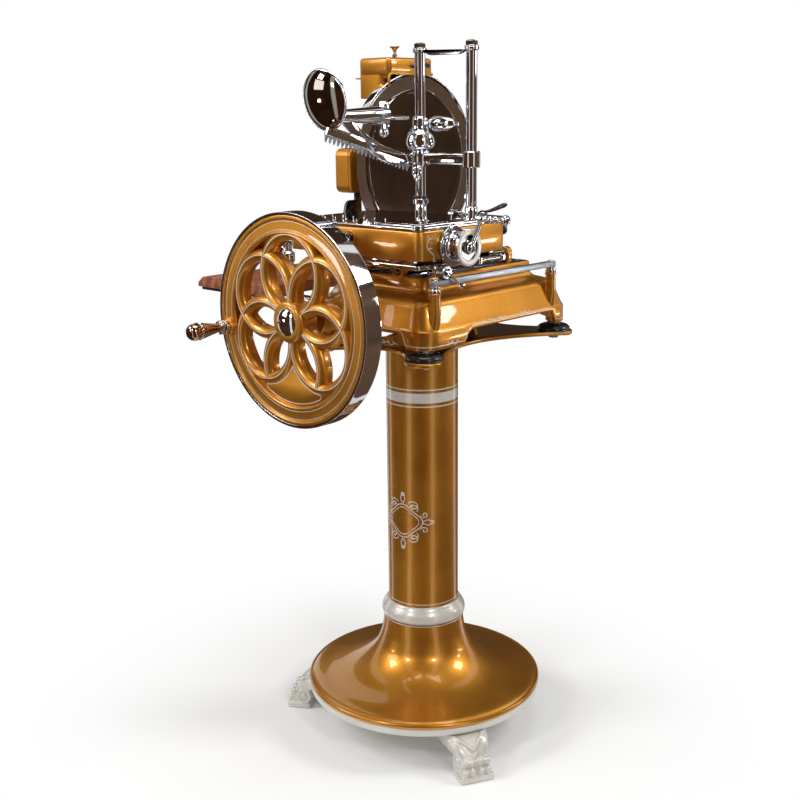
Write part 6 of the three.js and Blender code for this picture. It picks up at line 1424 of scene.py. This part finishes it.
@dataclass
class FeedCrank:
    """The screw that moves the table and its crank: flange, drum, bezel, arm and turned grip."""

    y: float = -122.0
    z: float = 994.0
    flange_x: float = 180.3
    screw_start: float = -134.0
    screw_end: float = 186.0
    pitch: float = 16.0
    arm_top: tuple = (-96.0, 1040.0)
    grip_start: float = 228.6
    grip_length: float = 52.0

    def build(self, shop: Workshop) -> None:
        """Makes the crank's pieces."""
        shop.build("feed_screw_cut", "feed_crank", self.on_axis(self.screw()), [Coat.STEEL],
                   ["feed_screw"], sharp=60)
        shop.build("feed_crank_chromed", "feed_crank", self.crank(),
                   [Coat.CHROME, Coat.PEARL, Coat.BLACK], ["feed_crank"], sharp=40)
        shop.build("feed_grip_turned", "feed_grip", self.grip(), [Coat.CHROME, Coat.BLACK], ["feed_grip"],
                   sharp=50)

    def on_axis(self, form: Form) -> Form:
        """Lays a turned form along the screw's axle."""
        return form.laid("X").moved(0, self.y, self.z)

    def screw(self) -> Form:
        """Real thread: the radius of each point follows how far it lies along its turn."""
        length, sides, rows = self.screw_end - self.screw_start, 48, 420
        h, a = np.linspace(0, length, rows)[:, None], np.linspace(0, TURN, sides, endpoint=False)[None, :]
        phase = (h / self.pitch - a / TURN) % 1.0
        crest = np.clip(1.6 - np.abs(phase - 0.5) * 5.0, 0, 1)
        radius = 7.0 + 1.6 * crest * np.clip(h / 4, 0, 1) * np.clip((length - 12 - h) / 4, 0, 1)
        rings = np.stack([radius * np.cos(a), radius * np.sin(a), np.broadcast_to(h, radius.shape)], -1)
        return loft(rings).moved(0, 0, self.screw_start)

    def crank(self) -> Form:
        """Flange with its slotted screw, waisted drum, wide flat bezel, ball centre, arm and eye."""
        body = fillet([(35, 0), (35, 6), (25, 8.5), (22.5, 14), (22.5, 23), (25, 30), (32, 33),
                       (32, 39.4), (31, 40)], [1.2, 1.6, 2, 4, 4, 2, 1.6, 1, 0.5], 5,
                      closed=False).tolist()
        drum = revolve([(AXIS, 0), (33.6, 0)] + body + [(21.4, 40), (21.1, 39.4), (21.1, 37), (AXIS, 37)],
                       120)
        # the bezel is chrome; its white pearl coat is painted reflection of the bright surroundings
        bezel = revolve([(21.3, 39.6), (31.2, 39.6), (31.0, 40.3), (30.4, 40.6), (22.2, 40.6),
                         (21.5, 40.3)], 120, hollow=True)
        dark = revolve([(AXIS, 37), (20.9, 37), (20.9, 37.5), (AXIS, 37.5)], 96)
        cone = revolve([(AXIS, 37), (13, 37.2), (9, 39.5), (AXIS, 40)], 64)
        slot = box(-5.5, 5.5, -0.7, 0.7, 2.5, 2.8, 0.1, 0.2)
        screw = joined(rod(5, 2.6, 0.8, 36), slot.finished(2)).turned("Z", 35).moved(18.5, -21.5, 5.6)
        turned = joined(drum, bezel.finished(1), dark.finished(2), cone, ball(10.5).moved(0, 0, 40.5),
                        screw)
        x, (y, z) = self.flange_x, self.arm_top
        path = np.linspace((x + 43, self.y, self.z), (x + 43, y, z), 12)
        arm = sweep(path, circle(1.0, 28), np.linspace(5.0, 4.1, 12), up=(1, 0, 0))
        eye = revolve([(AXIS, 0), (6.4, 0), (7.5, 1.1), (7.5, 8.9), (6.4, 10), (AXIS, 10.2)],
                      40).laid("X")
        return joined(self.on_axis(turned).moved(x), arm, eye.moved(x + 38, y, z))

    def grip(self) -> Form:
        """Turned grip: beads and coves that swell to a ball with a black dimple at its end."""
        shares = [(0.8, 0), (1.05, 0.04), (1.05, 0.1), (0.8, 0.14), (1.1, 0.28), (0.85, 0.36),
                  (1.15, 0.5), (0.85, 0.6), (0.9, 0.7), (1.35, 0.78), (1.6, 0.9), (1.48, 0.965),
                  (1.2, 1.0)]
        end, girth = self.grip_length, 5.7
        profile = smooth_profile([(girth * a, end * b) for a, b in shares], 90)
        turned = revolve([(AXIS, 0)] + profile + [(5.6, end - 0.2), (4.6, end - 1.6), (AXIS, end - 1.8)],
                         64)
        dimple = revolve([(AXIS, end - 1.7), (4.3, end - 1.7), (3.6, end - 1.0), (AXIS, end - 0.8)], 32)
        return joined(turned, dimple.finished(1)).laid("X").moved(self.grip_start, *self.arm_top)


# Press


@dataclass
class Press:
    """Posts, bridge, the yoke with its comb, and the arm that carries the hand guard."""

    post_xs: tuple = (0.0, 122.0)
    post_radius: float = 10.0
    foot_z: float = 1024.3
    top_z: float = 1320.0
    tilt: float = -15.8
    pivot_y: float = -16.0
    pivot_z: float = 1121.0
    teeth: int = 22
    tooth_pitch: float = 10.18
    tooth_depth: float = 11.0
    comb_height: float = 15.0
    comb_x: float = -21.6
    arm_x: float = -12.0
    dish_radius: float = 52.6
    dish_turn: float = 9.0
    dish_centre: tuple = (-12.0, -247.0, 1234.8)
    clamp_z: float = 1195.4

    def build(self, shop: Workshop) -> None:
        """Makes the press's pieces."""
        shop.build("press_post_left_polished", "table", self.post().moved(self.post_xs[0]),
                   [Coat.CHROME, Coat.RUBBER], ["press_post_left"])
        shop.build("press_post_right_polished", "table", self.post(False).moved(self.post_xs[1]),
                   [Coat.CHROME], ["press_post_right"])
        shop.build("post_bridge_chromed", "table", self.bridge(), [Coat.CHROME], ["post_bridge"],
                   sharp=40)
        shop.build("press_yoke_chromed", "press", self.yoke(), [Coat.CHROME], ["press_yoke"], sharp=40)
        shop.build("guard_arm_chromed", "press", self.arm(), [Coat.CHROME], ["guard_arm"], sharp=40)
        shop.build("press_comb_ground", "press_comb", self.comb(), [Coat.BRUSHED, Coat.CHROME],
                   ["press_comb"])
        # the dish's hollow is chrome darkened as painted dark reflection; its rim, back and neck are plain
        # chrome
        shop.build("hand_guard_spun", "hand_guard", self.dish(), [Coat.DARK_MIRROR, Coat.CHROME],
                   ["hand_guard"], sharp=60)
        shop.build("clamp_lever_chromed", "clamp_lever", self.clamp(), [Coat.CHROME], ["clamp_lever"],
                   sharp=50)

    def post(self, collared: bool = True) -> Form:
        """Polished post with a thicker foot; the left one has a collar and a rubber ring on it."""
        low, high, r = self.foot_z, self.top_z, self.post_radius
        turned = revolve([(AXIS, low), (r + 1.5, low), (r + 1.5, low + 23.4), (r + 0.6, low + 25),
                          (r, low + 25.4), (r, high - 0.8), (r - 0.8, high), (AXIS, high)], 72)
        if not collared:
            return turned
        section = [(r + 0.2, 25.4), (15, 25.4), (15, 33.4), (13.6, 35), (r + 0.2, 35)]
        collar = revolve([(a, low + b) for a, b in section], 64, hollow=True)
        return joined(turned, collar, torus(12.2, low + 37.6, 2.4, 64, 20).finished(1))

    def bridge(self) -> Form:
        """Strap between the post tops that dips in the middle, and two domed cap nuts."""
        z = self.top_z + GAP
        x0, x1 = self.post_xs
        top = [(x0 - 13, z + 6), (x0 + 13, z + 6), (x0 + 24, z), (x1 - 24, z), (x1 - 13, z + 6),
               (x1 + 13, z + 6)]
        low = [(x1 + 13, z), (x1 - 14, z), (x1 - 26, z - 5.7), (x0 + 26, z - 5.7), (x0 + 14, z),
               (x0 - 13, z)]
        outline = fillet((top + low)[::-1], [1, 3, 5, 5, 3, 1, 1, 3, 5, 5, 3, 1], 5)
        strap = front_plate(outline, -5, 5, 1.0)
        flats = [rod(13, 6, 0.9, 64).moved(x, 0, z) for x in self.post_xs]
        washer = revolve([(AXIS, 0), (12.5, 0), (12.5, 1.4), (11.9, 2), (AXIS, 2)], 48)
        crown = revolve([(9.6, 0), (9.2, 0.9), (6, 2.0), (AXIS, 2.4)], 40).moved(0, 0, 9.2)
        cap = joined(washer, nut(11.9, 8, 1.0).turned("Z", 12).moved(0, 0, 1.6), crown)
        caps = [cap.moved(x, 0, z + 6) for x in self.post_xs]
        return joined(strap, *flats, *caps)

    def sloped(self, form: Form) -> Form:
        """Tilts a form made along the level so that it rises towards the operator."""
        return form.turned("X", self.tilt).moved(0, self.pivot_y, self.pivot_z)

    def yoke(self) -> Form:
        """Strap on two hubs, the bulb on the left post, the tongue, the sloping bearer and the wing."""
        strap = box(*self.post_xs, -8, 8, 1122.9, 1143.1, 2.4, 4)
        hubs = [tube(16, self.post_radius + 0.5, 28.8, 1.6).moved(x, 0, 1118.6) for x in self.post_xs]
        swell = smooth_path([(17.4, 1146.6), (24.6, 1151), (28, 1158.6), (27.4, 1168), (24, 1176.2),
                             (18.6, 1182.6), (15.4, 1188.6), (15.0, 1196), (15.0, 1203.4)], 50).tolist()
        foot = [(10.5, 1133), (16.4, 1133), (17.0, 1146)]
        cap = [(13.6, 1205.4), (11.2, 1208.2), (10.5, 1208.2)]
        bulb = revolve(foot + swell + cap, 96, hollow=True)
        tongue = box(-13, -2, -17.6, 6.4, 1118.6, 1142.6, 1.6, 3)
        bearer = self.sloped(box(-13, -5, -224, 16, -2, 15, 1.2, 1.5))
        return joined(strap, *hubs, bulb, tongue, bearer, self.wing())

    def wing(self) -> Form:
        """Thin curved guard plate that sweeps forward and up beside the bearer, with its tail."""
        bends = [((0, 0), (-89.6, 4.8), (-183.7, 80.6)), ((-183.7, 80.6), (-188.6, 74.5), (-192.6, 67.2)),
                 ((-192.6, 67.2), (-112, -2.4), (-67.2, -14.4))]
        outline = np.vstack([bend(*three, 14)[:-1] for three in bends] + [[(-67.2, -14.4), (0, -14.4)]])
        sheet = side_plate(outline, -13.5, -8.5, 1.0).moved(0, -8, 1140.2)
        tail = revolve([(AXIS, 0), (3.2, 1.6), (9.9, 16), (8, 30.4), (4.8, 36.8), (AXIS, 37)], 40)
        return joined(sheet, tail.moved(6.4, -17.6, 1089.8))

    def comb(self) -> Form:
        """One plate cut into teeth with slightly hooked points along the bearer, and its back bar."""
        x, y, step, high = self.comb_x, 16.0, self.tooth_pitch, self.comb_height
        root, tip = high - self.tooth_depth + 8, 9 - self.tooth_depth
        points = [(y, high)]
        for i in range(self.teeth):
            a = y - 8 - i * step
            points += [(a, root), (a - step * 0.40, tip + 0.6), (a - step * 0.52, tip),
                       (a - step * 0.60, tip + 0.8)]
        last = y - 8 - self.teeth * step
        points += [(last, root), (last, high)]
        sheet = side_plate(np.array(points[::-1]), x, x + 2.6, 0.25)
        bar = box(x + 2.4, x + 8.6, last + 2, y, high - 8, high, 0.8, 1.5)
        return self.sloped(joined(sheet, bar.finished(1)).moved(0, 0, -9))

    def arm(self) -> Form:
        """Tapered arm from the clamp to the guard, ball, clamp plate, screws and the short rod."""
        cone = revolve([(AXIS, 0), (15.4, 0), (16.8, 1.6), (16.4, 8), (9.9, 121), (AXIS, 121.5)], 56)
        cone = cone.laid("Y").turned("Z", 180).moved(0, -82, 1211)
        joint = ball(18.4, 64).moved(0, -203, 1219)
        clamp = front_plate(fillet([(-11, 1186), (11, 1186), (11, 1236), (-11, 1236)], 8, 7), -88.3,
                            -79.3, 1.6)
        reach = rod(4, 63, 0.6, 28).laid("Y").moved(0, -82, 1206)
        lower = joined(rod(5.6, 19, 0.8, 32), ball(8.8, 32).moved(0, 0, 1.6)).moved(0, -84, 1179)
        top = revolve(smooth_profile([(8, 0), (6.4, 16), (9.4, 21), (10.2, 25), (9.9, 31), (6, 37),
                                      (AXIS, 40)], 48), 40)
        return joined(cone, joint, clamp, reach, lower, top.moved(0, -198, 1230.2)).moved(self.arm_x)

    def dish(self) -> Form:
        """Spun dish with a beaded rim, hollow towards the operator, on a short neck."""
        inside = [(AXIS, 0), (9, 0.4), (18.9, 1.7), (28.5, 3.9), (37.8, 7.1), (45.6, 11.2), (50.6, 15.4)]
        rim = [(52.4, 16.9), (53.4, 16.7), (54, 17.6), (53.6, 18.7), (52.4, 19), (51.0, 18.6)]
        outside = [(44.6, 14.0), (37.3, 9.5), (28.2, 6.1), (18.4, 3.9), (9, 2.5), (AXIS, 2)]
        sides, share = 128, self.dish_radius / 54
        shell = revolve([(a * share, b) for a, b in inside + rim + outside], sides)
        shell.finish[(len(inside) - 1) * sides:] = 1
        neck = rod(8, 30, 0.8, 40).moved(0, 0, 0.38).finished(1)
        return joined(shell, neck).turned("X", self.dish_turn - 90).moved(*self.dish_centre)

    def clamp(self) -> Form:
        """Lever that locks the press: stem, egg-shaped handle and a small tip."""
        stem = revolve([(AXIS, 0), (6.4, 0), (6.0, 16), (6.4, 32), (AXIS, 32.5)], 36)
        t = np.linspace(-math.pi / 2, math.pi / 2, 30)
        girth = np.maximum(14.784 * np.cos(t) * (1 - 0.12 * np.sin(t)), AXIS)
        egg = revolve(np.stack([girth, 31.92 * np.sin(t)], -1), 56).moved(0, 0, 38.4)
        tip = revolve([(AXIS, -6), (4.8, -6), (4.8, 0), (2.4, 12.4), (AXIS, 12.8)], 32).moved(0, 0, 64)
        return joined(stem, egg, tip).laid("X").moved(15.5, 0, self.clamp_z)


ASSEMBLIES = (Pedestal, Base, Flywheel, DriveTrain, KnifeUnit, Board, Carriage, Table, FeedCrank, Press)


# Studio


@dataclass
class Studio:
    """Pale floor, white surround, softboxes, dark cards for the chrome, and the camera; in metres."""

    floor_half: float = 12.0
    floor_colour: str = "#fbfbfa"
    surround: float = 0.36
    wall_radius: float = 3.1
    target: tuple = (0.05, 0.0, 0.75)
    sectors: tuple = ((-166, -96), (-82, -20), (-8, 69), (81, 152), (164, 182))
    card_tones: tuple = ("#4a3020", "#5c3e2a", "#67503f", "#4c3a2f", "#3f2d22")
    lamps: tuple = ((-130, 2.6, 2.9, 0.85, 1.1, 33.0), (-88, 2.7, 2.2, 0.4, 0.5, 13.0),
                    (-22, 2.7, 2.2, 0.4, 0.5, 13.0), (44, 2.6, 2.9, 0.85, 1.1, 33.0),
                    (-128, 2.8, 1.85, 1.3, 0.8, 11.0), (43.0, 2.6, 1.48, 0.24, 0.28, 3.4),
                    (48, 2.6, 0.66, 0.46, 0.16, 3.4), (-127, 2.6, 0.76, 0.3, 0.22, 2.6))
    eye: tuple = (1.5240, -1.57885, 1.2219)
    forward: tuple = (-0.6636, 0.7072, -0.2439)
    up: tuple = (-0.1585, 0.1857, 0.9697)
    lens_mm: float = 52.1
    sensor_mm: float = 36.0

    def build(self) -> None:
        """Makes the floor, the world, the lamps, the cards and the camera."""
        self.floor()
        self.world()
        for number, (azimuth, distance, height, *size, watts) in enumerate(self.lamps):
            self.softbox(f"softbox_{number + 1}", (*polar(distance, azimuth), height), size, watts)
        self.softbox("top_softbox", (0.2, -0.1, 3.0), (1.5, 1.1), 15.0)
        for number, ((start, end), tone) in enumerate(zip(self.sectors, self.card_tones)):
            self.card(f"dark_card_{number + 1}", start, end, tone)
        self.camera()

    @staticmethod
    def stage_piece(name: str, points: np.ndarray, faces: list, material: Material) -> Object:
        """A piece of the studio, which isn't part of the machine."""
        mesh = bpy.data.meshes.new(name)
        mesh.from_pydata(points.tolist(), [], faces)
        mesh.materials.append(material)
        piece = bpy.data.objects.new(name, mesh)
        bpy.context.scene.collection.objects.link(piece)
        return piece

    def floor(self) -> None:
        """A matt white floor with the machine's shadow; away from the machine it shows as plain white."""
        m, shader = principled("matt_white_floor", Base_Color=linear(self.floor_colour), Roughness=0.9,
                               Specular_IOR_Level=0.0)
        where = add_node(m, "ShaderNodeTexCoord").outputs["Object"]
        away = add_node(m, "ShaderNodeVectorMath", {0: where}, operation="LENGTH").outputs["Value"]
        fade = add_node(m, "ShaderNodeMapRange", {"Value": away, "From Min": 0.3, "From Max": 0.8},
                        interpolation_type="SMOOTHSTEP").outputs[0]
        seen = add_node(m, "ShaderNodeMath", {0: self.seen_directly(m), 1: fade}, operation="MULTIPLY")
        glow = add_node(m, "ShaderNodeEmission", {"Color": WHITE, "Strength": 1.0})
        both = add_node(m, "ShaderNodeMixShader", {0: seen.outputs[0], 1: shader.outputs[0],
                                                   2: glow.outputs[0]})
        m.node_tree.links.new(both.outputs[0], m.node_tree.nodes["Material Output"].inputs["Surface"])
        s = self.floor_half
        self.stage_piece("studio_floor", np.array([[-s, -s, 0], [s, -s, 0], [s, s, 0], [-s, s, 0]]),
                         [(0, 1, 2, 3)], m)

    @staticmethod
    def seen_directly(owner) -> NodeSocket:
        """One for rays from the camera, from mirrors and through glass; zero for the light itself."""
        path = add_node(owner, "ShaderNodeLightPath")
        value = path.outputs["Is Camera Ray"]
        for other in ("Is Glossy Ray", "Is Transmission Ray"):
            value = add_node(owner, "ShaderNodeMath", {0: value, 1: path.outputs[other]},
                             operation="MAXIMUM").outputs[0]
        return value

    def world(self) -> None:
        """White to the camera and to mirrors; a softer level lights the machine."""
        world = bpy.data.worlds.new("white_surround")
        world.use_nodes = True
        bpy.context.scene.world = world
        background = world.node_tree.nodes["Background"]
        level = add_node(world, "ShaderNodeMapRange", {"Value": self.seen_directly(world),
                                                       "To Min": self.surround, "To Max": 1.0})
        world.node_tree.links.new(level.outputs[0], background.inputs["Strength"])
        background.inputs["Color"].default_value = WHITE

    def softbox(self, name: str, place: Sequence, size: Sequence, watts: float) -> None:
        """A rectangular soft lamp that points at the machine."""
        lamp = bpy.data.lights.new(name, "AREA")
        lamp.shape, (lamp.size, lamp.size_y), lamp.energy = "RECTANGLE", size, watts
        piece = bpy.data.objects.new(name, lamp)
        bpy.context.scene.collection.objects.link(piece)
        piece.location = place
        piece.rotation_euler = (Vector(self.target) - Vector(place)).to_track_quat("-Z", "Y").to_euler()

    def card(self, name: str, start: float, end: float, tone: str) -> None:
        """A card of matt dark cloth between two azimuths in degrees; only mirrors see it."""
        cloth = principled("dark_card_cloth", Base_Color=linear(tone), Roughness=1.0,
                           Specular_IOR_Level=0.0)[0]
        r, count = self.wall_radius, 24
        profile = [(0.45, 0.004), (r, 0.004), (r, r), (0.9, r)]
        points = np.vstack([at_height(arc(a, start, end, count), h) for a, h in profile])
        piece = self.stage_piece(name, points, grid_faces(len(profile), count, wrap_columns=False), cloth)
        piece.visible_camera = piece.visible_diffuse = piece.visible_shadow = False
        piece.visible_transmission = False

    def camera(self) -> None:
        """The camera at the photograph's viewpoint: its axes are right, up and backwards."""
        lens = bpy.data.cameras.new("viewpoint")
        lens.lens, lens.sensor_width = self.lens_mm, self.sensor_mm
        lens.clip_end = 60.0
        piece = bpy.data.objects.new("viewpoint", lens)
        bpy.context.scene.collection.objects.link(piece)
        forward, up = Vector(self.forward).normalized(), Vector(self.up).normalized()
        right = forward.cross(up).normalized()
        up = right.cross(forward)
        turn = Matrix((right, up, -forward)).transposed()
        piece.matrix_world = Matrix.Translation(Vector(self.eye)) @ turn.to_4x4()
        bpy.context.scene.camera = piece


def main() -> None:
    """Builds the machine's assemblies in order, then the studio round them."""
    bpy.context.scene.view_settings.view_transform = "Standard"
    middle = np.mean(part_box("column_tube"), 0)
    materials = {coat: FINISHES[coat].make() for coat in Coat}
    shop = Workshop(np.array([middle[0], middle[1], 0.0]) / MM, materials)
    for assembly in ASSEMBLIES:
        assembly().build(shop)
    Studio().build()


if __name__ == "__main__":
    main()
